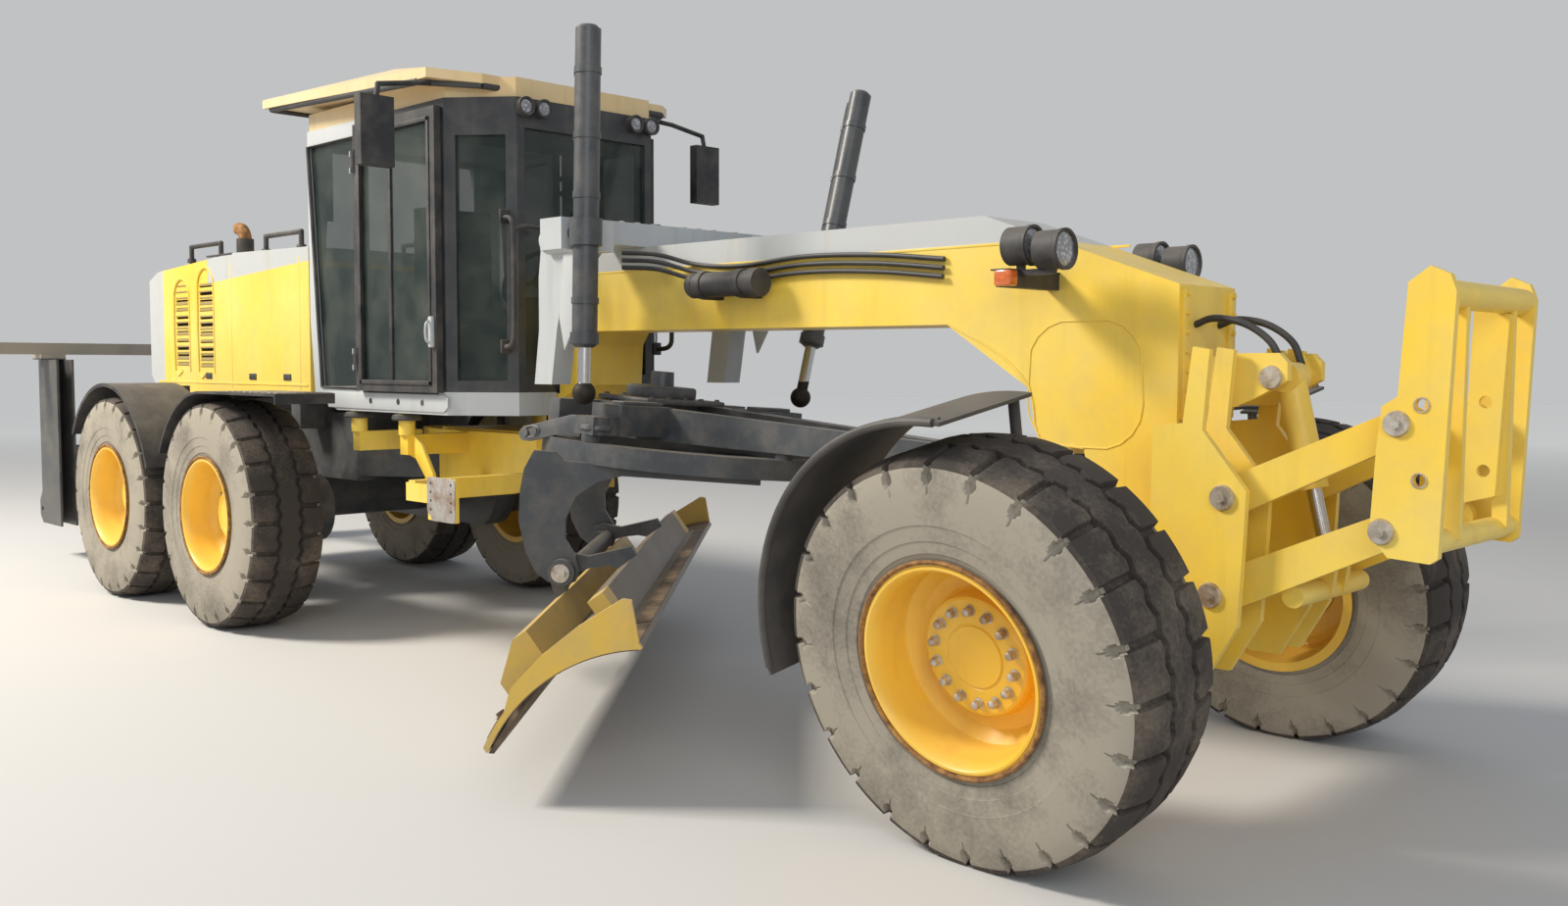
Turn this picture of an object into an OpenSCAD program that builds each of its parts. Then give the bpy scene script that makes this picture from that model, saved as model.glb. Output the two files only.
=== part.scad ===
// Motor grader with six driven wheels, a front lift group and a rear mast.
// Millimetres. +X is forward, +Y is the machine's left, +Z is up.
// Inside the modules x = 0 is the front axle and z = 0 is the ground.
// The whole is then moved so that its box stands on the origin.

/* [Stance] */
// Front axle to the middle of the tandem
wheelbase = 6160; // [6000:10:6400]
// Between the two axles of a tandem
tandem_pitch = 1540; // [1460:10:1650]
// Centre plane to the middle of a tyre
track_half = 1055; // [1030:5:1120]
// Front wheels' lean to the right, in degrees
lean_rest = 10; // [4:1:14]
// Front axle to the frame's hinge
hinge_x = 4900; // [4860:5:4940]

/* [Wheels] */
// Radius over the lugs
tyre_r = 660; // [630:5:680]
// Width of the tyre
tyre_w = 440; // [400:5:460]
// Width of the tread
tread_w = 400; // [360:5:410]
// How much smaller the tyre is at the tread's edge
shoulder_drop = 22; // [10:1:40]
// Shoulder blocks on each side of a tyre
lug_count = 24; // [20:1:28]
// Width of a notch between two blocks
notch_w = 26; // [18:2:36]
// Depth of a notch from the tread
notch_deep = 58; // [40:2:70]
// Reach of a notch into the tread from its edge
notch_in = 75; // [50:5:100]
// Radius of the rim's bead seat
rim_r = 318; // [300:2:330]
// Height of the rim's flange over the bead seat
flange_h = 26; // [18:1:34]
// Wall of the rim
rim_wall = 14; // [10:1:20]
// Rim flange's outer face from the tyre's middle
flange_out = 215; // [190:5:225]
// Radius of the bolted hub face
hub_r = 215; // [190:5:240]
// Wheel nuts
nut_count = 14; // [10:1:18]
// Radius of the nuts' circle
nut_pcd_r = 150; // [130:2:170]

/* [Main frame] */
// Width of the gooseneck's box
neck_w = 400; // [360:10:420]
// Height of the gooseneck's top
neck_top = 2105; // [2060:5:2140]
// Height of the gooseneck's underside
neck_low = 1705; // [1690:5:1720]
// Front face of the gooseneck's leg, before the front axle
leg_x = 150; // [140:5:160]
// Height of the frame's hinge rails, low side
rail_low = 760; // [720:10:820]
// Height of the frame's hinge rails, top side
rail_top = 1170; // [1120:10:1190]
// Height of the frame's underside where the blade turns below it
belly_low = 850; // [840:10:880]

/* [Cab] */
// Width of the cab
cab_w = 1360; // [1300:10:1440]
// Rear face of the cab at its foot, behind the front axle
cab_rear = 5170; // [5150:5:5180]
// How far the rear face leans back at the roof
cab_lean = 170; // [120:10:180]
// Front posts of the cab, behind the front axle
cab_front = 3720; // [3660:10:3800]
// Windscreen, behind the front axle
screen_x = 3420; // [3380:10:3480]
// Width of the windscreen
screen_w = 880; // [800:10:960]
// Underside of the cab
cab_low = 1270; // [1240:5:1290]
// Underside of the roof
roof_z = 2890; // [2820:10:2930]
// Thickness of the roof at its edge
roof_t = 48; // [36:2:60]
// Post width
post_w = 90; // [60:5:110]
// Thickness of glass
glass_t = 8; // [5:1:12]
// Lower edge of the doors
sill_z = 1386; // [1384:1:1400]
// Thickness of a door
door_t = 40; // [30:2:55]

/* [Hood] */
// Width of the hood
hood_w = 1110; // [1040:10:1160]
// Front face of the hood, behind the front axle
hood_front = 5488; // [5480:2:5500]
// Rear face of the hood, behind the front axle
hood_rear = 8040; // [7900:10:8100]
// Underside of the hood
hood_low = 1330; // [1300:10:1400]
// Top of the hood
hood_top = 2270; // [2200:10:2320]
// Wall of the hood's sheet
sheet_t = 12; // [6:1:20]

/* [Drawbar and circle] */
// Front ball, behind the front axle
ball_x = 350; // [330:5:380]
// Height of the front ball
ball_z = 1130; // [1110:5:1160]
// Swing of the drawbar to the right, in degrees
swing_rest = 3; // [1:0.5:4]
// Lift of the drawbar's rear, in degrees
lift_rest = 3.5; // [2:0.5:4]
// Roll of the drawbar, right side up, in degrees
roll_rest = 3; // [2:0.5:4]
// Centre of the circle, behind the front axle
circle_x = 2370; // [2340:5:2420]
// Radius of the circle's ring
circle_r = 760; // [720:5:780]
// Thickness of the ring
ring_t = 90; // [70:5:100]
// Turn of the circle to the left, in degrees
circle_rest = 41; // [38:1:44]
// Half distance between the blade arms
arm_y = 600; // [560:5:640]

/* [Blade] */
// Length of the slide rails on the moldboard's back
blade_rail_l = 2900; // [2500:10:3000]
// Length of the moldboard
blade_l = 3660; // [3400:10:3700]
// Chord of the moldboard from edge to top
blade_h = 660; // [600:10:690]
// Bulge of the moldboard behind its chord
blade_bulge = 95; // [80:5:110]
// Thickness of the moldboard
blade_t = 22; // [16:1:26]
// Angle of the chord over the level, in degrees
blade_pitch = 39; // [36:1:42]

/* [Lift cylinders] */
// Radius of a lift cylinder's barrel
lift_r = 56; // [48:1:60]
// Radius of a lift cylinder's rod
lift_rod_r = 28; // [22:1:34]
// Length of a barrel above its trunnion
lift_up = 880; // [840:10:900]
// Length of a barrel below its trunnion
lift_down = 490; // [460:5:500]
// Centre plane to a trunnion
trunnion_y = 784; // [770:2:800]
// Trunnions behind the front axle
trunnion_x = 2390; // [2370:5:2410]
// Height of the trunnions
trunnion_z = 2115; // [2100:5:2130]

/* [Front lift group] */
// Half width over the coupler's side plates
coupler_y = 370; // [350:5:400]
// Front face of the coupler's plates
coupler_x = 1110; // [1080:10:1160]
// Pin radius in the lift group
pin_r = 24; // [18:1:30]

/* [Rear mast] */
// Rear face of the mast, behind the front axle
mast_x = 9350; // [9200:10:9500]

/* [Hidden] */
$fn = 48;
clear = 5;
skin = 0.3;
tandem_front_x = wheelbase - tandem_pitch / 2;
tandem_rear_x = wheelbase + tandem_pitch / 2;
tread_edge_r = tyre_r - shoulder_drop;
front_z = max(tyre_r * cos(lean_rest),
              tread_edge_r * cos(lean_rest) + tread_w / 2 * sin(lean_rest));
rear_z = tyre_r;
cab_y = cab_w / 2;
hood_y = hood_w / 2;
pin_fit = 0.05;
door_hinge_x = 4590;
carrier_x = -527;
carrier_z = 469;
ring_z = ball_z - 95 - ring_t / 2;
upper_pin = [405, 1115];
lower_pin = [370, 795];
arm_v = [540, 255];
tool_top = [455, 0, 1500];
tool_foot = [600, 0, 905];

yellow = [0.93, 0.68, 0.12];
rim_yellow = [0.92, 0.58, 0.08];
slate = [0.20, 0.22, 0.25];
silver = [0.62, 0.63, 0.62];
tan = [0.85, 0.70, 0.42];
black = [0.07, 0.07, 0.08];
steel = [0.70, 0.71, 0.72];
glass = [0.45, 0.60, 0.58, 0.35];

// A cylinder of radius r along +Y, centred
module along_y(r, l) rotate([90, 0, 0]) cylinder(r = r, h = l, center = true);
// A cylinder of radius r along +X, centred
module along_x(r, l) rotate([0, 90, 0]) cylinder(r = r, h = l, center = true);
// A side-view outline of [x, z] points, t thick about y = 0
module side_plate(points, t) rotate([90, 0, 0]) linear_extrude(t, center = true) polygon(points);
// A box from corner to corner
module span(low, high) translate(low) cube(high - low);
// The same thing on both sides
module both_sides() { children(); mirror([0, 1, 0]) children(); }
// A cylinder from point a to point b
module bar(a, b, r) {
    d = b - a;
    translate(a) rotate([0, acos(d.z / norm(d)), atan2(d.y, d.x)]) cylinder(r = r, h = norm(d));
}
// Round bars through a list of points
module bent_tube(points, r) {
    for (i = [0 : len(points) - 2]) bar(points[i], points[i + 1], r);
    for (i = [1 : len(points) - 2]) translate(points[i]) sphere(r * 1.04);
}

// Wheels

// The section of a tyre about its axle: [radius, across]
function tyre_section() = [
    [rim_r + 1, -tyre_w * 0.42], [rim_r + flange_h + 14, -tyre_w * 0.45],
    [tyre_r * 0.76, -tyre_w / 2], [tyre_r * 0.90, -tyre_w * 0.485],
    [tread_edge_r, -tread_w / 2], [tyre_r, -tread_w * 0.28],
    [tyre_r, tread_w * 0.28], [tread_edge_r, tread_w / 2],
    [tyre_r * 0.90, tyre_w * 0.485], [tyre_r * 0.76, tyre_w / 2],
    [rim_r + flange_h + 14, tyre_w * 0.45], [rim_r + 1, tyre_w * 0.42]];
module tyre() color(black) rotate([90, 0, 0]) difference() {
    rotate_extrude($fn = 96) polygon(tyre_section());
    // Keyhole notches part the shoulders into blocks, staggered from side to side
    for (i = [0 : lug_count - 1], m = [0, 1]) mirror([0, 0, m]) rotate((i + m / 2) * 360 / lug_count)
        translate([0, 0, tread_w / 2 - notch_in]) linear_extrude(notch_in + 60) {
            translate([tyre_r - notch_deep, 0]) circle(r = notch_w * 0.62);
            translate([tyre_r - notch_deep, -notch_w / 2]) square([notch_deep + 20, notch_w]);
        }
}

// The outer side of the wheel is -Y here: a right-hand wheel
module rim() color(rim_yellow) rotate([90, 0, 0]) difference() {
    union() {
        rotate_extrude($fn = 96) polygon([
            [rim_r - rim_wall, -flange_out], [rim_r + flange_h, -flange_out],
            [rim_r + flange_h, -flange_out + 12], [rim_r, -flange_out + 24],
            [rim_r, flange_out - 24], [rim_r + flange_h, flange_out - 12],
            [rim_r + flange_h, flange_out], [rim_r - rim_wall, flange_out],
            [rim_r - rim_wall - 6, flange_out - 40], [rim_r - rim_wall - 40, hub_face - 40],
            [hub_r + 6, hub_face], [0, hub_face], [0, hub_face - 24], [hub_r, hub_face - 24],
            [rim_r - rim_wall - 60, hub_face - 64], [rim_r - rim_wall, hub_face - 80]]);
        for (i = [0 : nut_count - 1]) rotate(i * 360 / nut_count)
            translate([nut_pcd_r, 0, hub_face - 1]) cylinder(r = 15, h = 26);
    }
}
hub_face = 70;

// Places a right-hand wheel; side = 1 is the left
module wheel_at(x, y, z, lean, side)
    translate([x, y, z]) rotate([lean, 0, 0]) scale([1, -side, 1]) children();
module rear_wheel(x, side) translate([-x, side * track_half, rear_z])
    mirror([0, side > 0 ? 1 : 0, 0]) children();
module front_wheel(side) translate([0, side * track_half, front_z]) rotate([lean_rest, 0, 0])
    mirror([0, side > 0 ? 1 : 0, 0]) children();

// Rear frame

frame_rail_y = 330;
module hinge_lugs(x, heights, r) for (z = heights)
    translate([x, 0, z]) cylinder(r = r, h = 70, center = true);

module rear_frame() color(slate) {
    difference() {
        union() {
            both_sides() span([-hood_rear + 60, frame_rail_y - 60, rail_low + 60],
                              [-hinge_x - 330, frame_rail_y + 60, rail_top + 60]);
            span([-tandem_front_x - 420, -frame_rail_y, rail_low + 60],
                 [-tandem_front_x - 120, frame_rail_y, rail_top + 60]);
            span([-hood_rear + 60, -frame_rail_y, rail_low + 60],
                 [-hood_rear + 200, frame_rail_y, rail_top + 60]);
            span([-hood_rear - 20, -660, rail_low - 40], [-hood_rear + 61, 660, rail_low + 240]);
            // Outriggers under the hood's sides
            both_sides() for (x = [5700, 7300])
                span([-x - 60, frame_rail_y, rail_top - 40], [-x + 60, hood_y - 2, hood_low - skin]);
            // Nose that carries the hinge's pin
            hull() {
                translate([-hinge_x, 0, hinge_mid]) cylinder(r = 110, h = hinge_gap, center = true,
                                                             $fn = 32);
                span([-hinge_x - 420, -frame_rail_y - 60, hinge_mid - hinge_gap / 2],
                     [-hinge_x - 330, frame_rail_y + 60, hinge_mid + hinge_gap / 2]);
            }
            // Axle housing across the machine, at the middle of the tandem
            translate([-wheelbase, 0, rear_z]) along_y(150, 2 * tandem_in);
            span([-wheelbase - 200, -frame_rail_y - 60, rear_z - 40],
                 [-wheelbase + 200, frame_rail_y + 60, rail_low + 61]);
        }
        translate([-hinge_x, 0, 0]) cylinder(r = hinge_pin_r, h = 3000);
    }
    // Belly pan under the engine
    span([-hood_rear + 200, -frame_rail_y + 40, rail_low], [-wheelbase - 250, frame_rail_y - 40,
                                                           rail_low + 61]);
}
hinge_mid = 960;
hinge_gap = 220;
hinge_pin_r = 45;
tandem_in = 560;
tandem_t = 150;

module tandem_cases() color(slate) both_sides() {
    // Stubs up to the wheels' hubs
    for (x = [tandem_front_x, tandem_rear_x]) translate([-x, tandem_in + tandem_t - 1, rear_z])
        rotate([-90, 0, 0]) cylinder(r = 130, h = track_half + hub_face - 24 - skin
                                              - tandem_in - tandem_t + 1);
    translate([-wheelbase, tandem_in + tandem_t / 2, rear_z])
    rotate([90, 0, 0]) linear_extrude(tandem_t, center = true) hull() for (s = [-1, 1])
        translate([s * tandem_pitch / 2, 0]) circle(r = 200);
}

// The hood is one sheet shell, open below, with a sloping rear
module hood() {
    outline = [[-hood_front, hood_low], [-hood_front, hood_top - 20], [-hood_front - 1100, hood_top],
               [-hood_rear + 160, hood_top - 70], [-hood_rear, hood_top - 130],
               [-hood_rear, hood_low + 120], [-hood_rear + 120, hood_low]];
    inner = [[-hood_front - sheet_t, hood_low - 10], [-hood_front - sheet_t, hood_top - 20 - sheet_t],
             [-hood_front - 1100, hood_top - sheet_t], [-hood_rear + 160, hood_top - 70 - sheet_t],
             [-hood_rear + sheet_t, hood_top - 130 - sheet_t], [-hood_rear + sheet_t, hood_low + 120],
             [-hood_rear + 120, hood_low - 10]];
    color(yellow) difference() {
        side_plate(outline, hood_w);
        side_plate(inner, hood_w - 2 * sheet_t);
        // Tall round-topped grilles: a shallow field with slots
        both_sides() for (g = grille_table) {
            translate([g[0] + grille_w / 2, hood_y, 0]) {
                side_plate([[-grille_w / 2, g[1]], [grille_w / 2, g[1]], [grille_w / 2, g[2]],
                            [-grille_w / 2, g[2]]], 8);
                translate([0, 0, g[2]]) along_y(grille_w / 2, 8);
                for (z = [g[1] + 40 : 55 : g[2]]) span([-grille_w / 2 + 30, -40, z],
                                                       [grille_w / 2 - 30, 40, z + 26]);
            }
        }
    }
}

grille_w = 270;
grille_table = [[-7585, 1480, 2000], [-7170, 1470, 2060]]; // x, foot, spring of the arch

module engine_block() color(slate) span([-hood_rear + 900, -300, rail_top + 60.3],
                                        [-hood_front - 700, 300, hood_top - 160]);

// Height of the hood's top at x behind the front axle
function hood_z(x) = x < hood_front + 1100 ? hood_top - 20 + 20 * (x - hood_front) / 1100
    : hood_top - 70 * (x - hood_front - 1100) / (hood_rear - 160 - hood_front - 1100);
module hood_rails() color(black) {
    both_sides() for (x = [5700, 6900])
        bent_tube([[-x, hood_y - 60, hood_z(x) + 1.2], [-x, hood_y - 60, hood_top + 90],
            [-x - 500, hood_y - 60, hood_top + 90], [-x - 500, hood_y - 60, hood_z(x + 500) + 1.2]], 16);
    translate([-7300, -150, hood_z(7240) + 0.3]) cylinder(r = 60, h = 200);
}

// Half-round fenders over the tandem, the forward one ending in a flat step
module rear_fenders() color(black) both_sides() {
    // The rear one has rolled edges
    translate([-tandem_rear_x, track_half, rear_z]) rotate([90, 0, 0]) rotate(18)
        rotate_extrude(angle = 130, $fn = 96) translate([tyre_r, 0]) polygon([
            [62, -tyre_w / 2], [84, -tyre_w / 2], [84, tyre_w / 2], [62, tyre_w / 2],
            [62, tyre_w / 2 - 16], [70, tyre_w / 2 - 16], [70, 16 - tyre_w / 2], [62, 16 - tyre_w / 2]]);
    // The forward one, its step's inner corner cut for the turning cab
    difference() {
        side_plate_at(track_half, step_outline(), tyre_w);
        translate([-hinge_x, 0, 1200]) rotate(22) span([200, 0, 0], [1500, cab_y + 12, 400]);
    }
    // Posts that carry both on the tandem's case
    for (post = [[tandem_rear_x - 120, 1386], [tandem_front_x + 60, 1364]]) {
        span([-post.x - 40, 640, 860.3], [-post.x + 40, 800, 880]);
        span([-post.x - 30, 776, 861], [-post.x + 30, 800, post.y]);
        span([-post.x - 30, 776, 1329], [-post.x + 30, track_half, post.y]);
    }
}
fender_z = 1376;
function on_arc(r, a) = [-tandem_front_x + r * cos(a), rear_z + r * sin(a)];
function step_outline() = concat([[-4420, fender_z - 55], [-4420, fender_z]],
    [for (a = [90 : 3.1 : 152]) on_arc(fender_z - rear_z, a)],
    [for (a = [152 : -3.1 : 90]) on_arc(fender_z - rear_z - 14, a)],
    [[-4434, fender_z - 14], [-4434, fender_z - 55]]);
// Part of a ring in the X-Z plane, w wide, from angle a to angle b
module arc_band(r, t, w, a, b) rotate([0, 0, 0]) translate([0, 0, -w / 2]) rotate(a)
    rotate_extrude(angle = b - a, $fn = 96) translate([r, 0]) square([t, w]);

mast_y = 950;
module rear_mast() color(slate) {
    both_sides() {
        difference() {
            for (y = [mast_y, mast_y - 110]) side_plate_at(y, [[-mast_x, 330], [-mast_x + 60, 270],
                [-mast_x + 480, 270], [-mast_x + 480, 1560], [-mast_x + 60, 1560], [-mast_x + 60, 520],
                [-mast_x, 450]], 16);
            translate([-mast_x + clevis.x, mast_y, clevis.y]) along_y(clevis_r, 400);
        }
        span([-mast_x + 180, mast_y - 102, 271], [-mast_x + 200, mast_y - 8, 1559]);
        span([-mast_x + 460, mast_y - 400, 760], [-hood_rear - 20.3, mast_y - 300, 900]);
        span([-mast_x + 460, mast_y - 700, 760], [-mast_x + 481, mast_y - 118, 900]);
        span([-mast_x + 100, mast_y - 118, 1560], [-mast_x + 300, mast_y + 60, 1600]);
    }
    span([-mast_x + 160, -1440, 1600], [-mast_x + 260, 1440, 1690]);
}
// Pin hole of the mast's clevis, from its rear face and the ground
clevis = [55, 380];
clevis_r = 20;

// Front frame

// Side outline of gooseneck, front leg and the drop to the rails under the cab
function neck_outline() = [
    [-3200, neck_low - 65], [-3150, neck_low], [-845, neck_low - 10], [-453, 1450], [-407, 1265],
    [-215, 1235], [-150, 980], [-132, 760.3], [leg_x, 760.3], [leg_x, 1815], [-670, neck_top],
    [-3290, neck_top], [-3400, neck_top - 120], [-3400, 1350], [-3215, 1430]];
// The box below the cab, which the neck stands on
function box_outline() = [
    [-3400 - skin, 1350 - skin], [-3400 - skin, 1385], [-3505, 1375], [-3505, rail_top],
    [-4560, rail_top], [-4560, rail_low], [-4400, rail_low], [-4340, belly_low],
    [-3510, belly_low], [-3440, 1000], [-3385, 1180], [-3385, 1350 - skin]];

module main_frame() color(yellow) {
    side_plate(neck_outline(), neck_w);
    side_plate(box_outline(), neck_w);
    // Wider box under the cab, and the fork round the rear frame's nose
    both_sides() span([-4500, neck_w / 2 - 1, belly_low + 5], [-3530, neck_w / 2 + 60, rail_top - 10]);
    for (s = [-1, 1]) translate([-hinge_x, 0, hinge_mid + s * (hinge_gap / 2 + 45)]) {
        cylinder(r = 110, h = 80, center = true);
        span([0, -110, -40], [350, 110, 40]);
        span([180, -200, -40], [350, 200, 40]);
    }
    translate([-hinge_x, 0, hinge_mid]) cylinder(r = hinge_pin_r - pin_fit,
                                                 h = hinge_gap + 100, center = true);
    // Outriggers with the cab's rubber feet
    both_sides() for (x = [4760, 4230]) {
        span([-x - 40, neck_w / 2 + 40, rail_top - 130], [-x + 40, 640, rail_top - 20]);
        translate([-x, 620, rail_top - 21]) cylinder(r = 45, h = cab_low - rail_top + 20.7);
    }
    // Bolt plates on brackets below the doors
    span([-3760, neck_w / 2 + 60 + skin, 930], [-3700, bolt_plate_y - 10 - skin, 1040]);
    side_plate_at(bolt_plate_y, [[-3535, 900], [-3800, 900], [-3800, 1040], [-3535, 1040]], 20);
    span([-3600, -right_plate_y + 26 + skin, belly_low + 10], [-3540, -neck_w / 2 - 60 - skin, 960]);
    span([-3600, -right_plate_y + 10 + skin, belly_low + 10], [-3200, -right_plate_y + 26, 950]);
    side_plate_at(-right_plate_y, [[-3113, 785], [-3359, 785], [-3359, 992], [-3113, 992]], 20);
}
bolt_plate_y = 740;
right_plate_y = 1000;

// Ears on the front leg that hold the ball's stud
module ball_ears() color(yellow) difference() {
    for (s = [-1, 1]) translate([0, 0, ball_z + s * 96]) {
        translate([-ball_x, 0, 0]) cylinder(r = 60, h = 34, center = true);
        span([-ball_x, -60, -17], [-120, 60, 17]);
    }
    translate([-ball_x, 0, 0]) cylinder(r = 30 + pin_fit, h = 3000);
    translate([-skin, 0, 0]) side_plate(neck_outline(), neck_w);
}

// The saddle holds the lift cylinders: a bridge over the neck, two legs and the trunnion arms
module saddle() color(silver) {
    span([-trunnion_x - 560, -saddle_y - 30, neck_top + 0.3],
         [-trunnion_x - 300, saddle_y + 30, neck_top + 110]);
    both_sides() {
        side_plate_at(saddle_y, [[-trunnion_x - 640, 1440], [-trunnion_x - 500, 1440],
            [-trunnion_x - 455, 1700], [-trunnion_x - 400, 1900], [-trunnion_x - 300, 2010],
            [-trunnion_x - 240, 2060], [-trunnion_x - 240, neck_top + 75],
            [-trunnion_x - 310, neck_top + 110], [-trunnion_x - 560, neck_top + 110],
            [-trunnion_x - 600, 1950], [-trunnion_x - 600, 1700]], 110);
        translate([-trunnion_x - 375, saddle_y + 60, trunnion_z]) along_x(62, 252);
        difference() {
            span([-trunnion_x - 250, saddle_y, trunnion_z - 70],
                 [-trunnion_x - 91, trunnion_y + 66, trunnion_z + 70]);
            translate([-trunnion_x - 115, trunnion_y, trunnion_z])
                along_x(trunnion_pin_r + pin_fit, 80);
        }
    }
}
saddle_y = 560;
module side_plate_at(y, points, t) translate([0, y, 0]) side_plate(points, t);

// The axle's beam ends in forks, each with the pin about which a wheel leans
module front_axle() color(yellow) {
    span([-130, -560, 560], [130, 560, 730]);
    span([-120, -150, 729], [120, 150, 760]);
    both_sides() {
        span([-124, 540, lean_z - 85], [124, 612, lean_z + 85]);
        for (s = [-1, 1]) translate([s * 107, lean_y, lean_z]) {
            along_x(70, 34);
            span([-17, -100, -70], [17, 0, 70]);
        }
        translate([0, lean_y, lean_z]) along_x(35 - pin_fit, 240);
    }
}
lean_z = 620;
lean_y = 690;
kingpin_y = 800;
// The same in a leant yoke's own frame, from the lean pin
king_y = (kingpin_y - lean_y) * cos(lean_rest);

// A yoke leans about the axle's pin and holds the kingpin between two flanges
module yoke(side) mirror([0, side > 0 ? 0 : 1, 0]) color(yellow)
    translate([0, lean_y, lean_z]) rotate([side * lean_rest, 0, 0]) difference() {
        union() {
            along_x(52, 176);
            span([-85, 0, -145], [85, 40, 160]);
            for (z = [-145, 115]) {
                span([-70, 30, z], [70, king_y, z + 30]);
                translate([0, king_y, z]) cylinder(r = 70, h = 30);
            }
            span([-110, -66, 130], [110, 10, 160]);
            span([-200, -66, 130.5], [-60, -34, 330]);
            span([-200, -160, 262], [-160, -34, 338]);
        }
        along_x(35, 400);
        translate([0, king_y, -200]) cylinder(r = 30, h = 400);
    }
// A knuckle turns on its kingpin and carries the wheel's hub
module knuckle(side) color(yellow) {
    front_wheel(side) rotate([90, 0, 0]) {
        translate([0, 0, -165]) cylinder(r = 150, h = 165 + hub_face - 24 - skin);
    }
    mirror([0, side > 0 ? 0 : 1, 0]) translate([0, lean_y, lean_z]) rotate([side * lean_rest, 0, 0])
        translate([0, king_y, 0]) {
            cylinder(r = 50, h = 220, center = true);
            cylinder(r = 30 - pin_fit, h = 290, center = true);
            span([-60, 20, -100], [60, track_half - hub_back, 100]);
        }
}
hub_back = 905;
lean_bar_x = -229;
lean_bar_z = lean_z + 300;
// Where the yokes' arms stand at the lean bar's height
lean_shift = 300 * sin(lean_rest);
module lean_bar() color(yellow) {
    bar([lean_bar_x, -lean_y - lean_shift + 120, lean_bar_z],
        [lean_bar_x, lean_y - lean_shift - 120, lean_bar_z], 26);
    for (s = [-1, 1]) translate([lean_bar_x, s * (lean_y - 124) - lean_shift, lean_bar_z])
        along_x(34, 57.4);
}

// A front fender stands on its knuckle's kingpin and steers with the wheel
function wheel_rise(side) = (front_z - lean_z) * cos(lean_rest)
    - side * (track_half - lean_y) * sin(lean_rest);
function wheel_out(side) = (track_half - lean_y) * cos(lean_rest)
    + side * (front_z - lean_z) * sin(lean_rest);
module front_fender(side) color(black) {
    // Its tail is cut on the inside, where the blade's end passes
    front_wheel(side) difference() {
        rotate([90, 0, 0]) arc_band(tyre_r + 95, 12, tyre_w + 20, 84, 190);
        mirror([0, side > 0 ? 0 : 1, 0]) span([-1000, -400, -400], [-500, 25, 40]);
    }
    mirror([0, side > 0 ? 0 : 1, 0]) translate([0, lean_y, lean_z]) rotate([side * lean_rest, 0, 0]) {
        translate([0, king_y, 145.3]) cylinder(r = 18, h = wheel_rise(side) + tyre_r + 92 - 145);
        span([-40, king_y - 20, wheel_rise(side) + tyre_r + 86],
             [40, wheel_out(side) - tyre_w / 2 + 10, wheel_rise(side) + tyre_r + 96]);
    }
}

// Front lift group

arm_in_y = 300;
plate_y = 350;
// Side outline of the lift frame, which carries the two pairs of arms
function lift_outline() = [[leg_x + skin, 620], [250, 520], [360, 520], [465, 700], [480, 1000],
                           [485, 1140], [330, 1330], [350, 1590], [290, 1600], [260, 1350],
                           [leg_x + skin, 1340]];
module lift_base() color(yellow) {
    // Outer cheeks, and inner cheeks beside the arms
    both_sides() {
        for (y = [plate_y, neck_w / 2 - 15]) difference() {
            side_plate_at(y, lift_outline(), 26);
            for (p = [upper_pin, lower_pin]) translate([p.x, y, p.y]) along_y(pin_r, 60);
        }
        // Webs between the cheeks, behind and over the arms' pins
        for (z = [700, 960, 1250]) span([leg_x + skin, neck_w / 2 - 3, z], [270, plate_y - 12, z + 24]);
        span([leg_x + skin, neck_w / 2 - 3, 640], [leg_x + 25, plate_y - 12, 1330]);
        // Ear for the lift cylinder
        difference() {
            side_plate_at(130, [[leg_x + skin, 1400], [330, 1400], [400, 1430], [510, 1490], [510, 1550],
                                [480, 1580], [350, 1580], [leg_x + skin, 1560]], 30);
            translate([tool_top.x, 130, tool_top.z]) along_y(pin_r, 60);
        }
    }
    // Cross plates of the frame's foot, and the pins
    span([leg_x + skin, -plate_y, 560], [leg_x + 25, plate_y, 700]);
    both_sides() for (p = [upper_pin, lower_pin])
        translate([p.x, (neck_w / 2 + plate_y) / 2, p.y]) along_y(pin_r - pin_fit, 200);
    translate([tool_top.x, 0, tool_top.z]) along_y(pin_r - pin_fit, 290);
}
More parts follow.
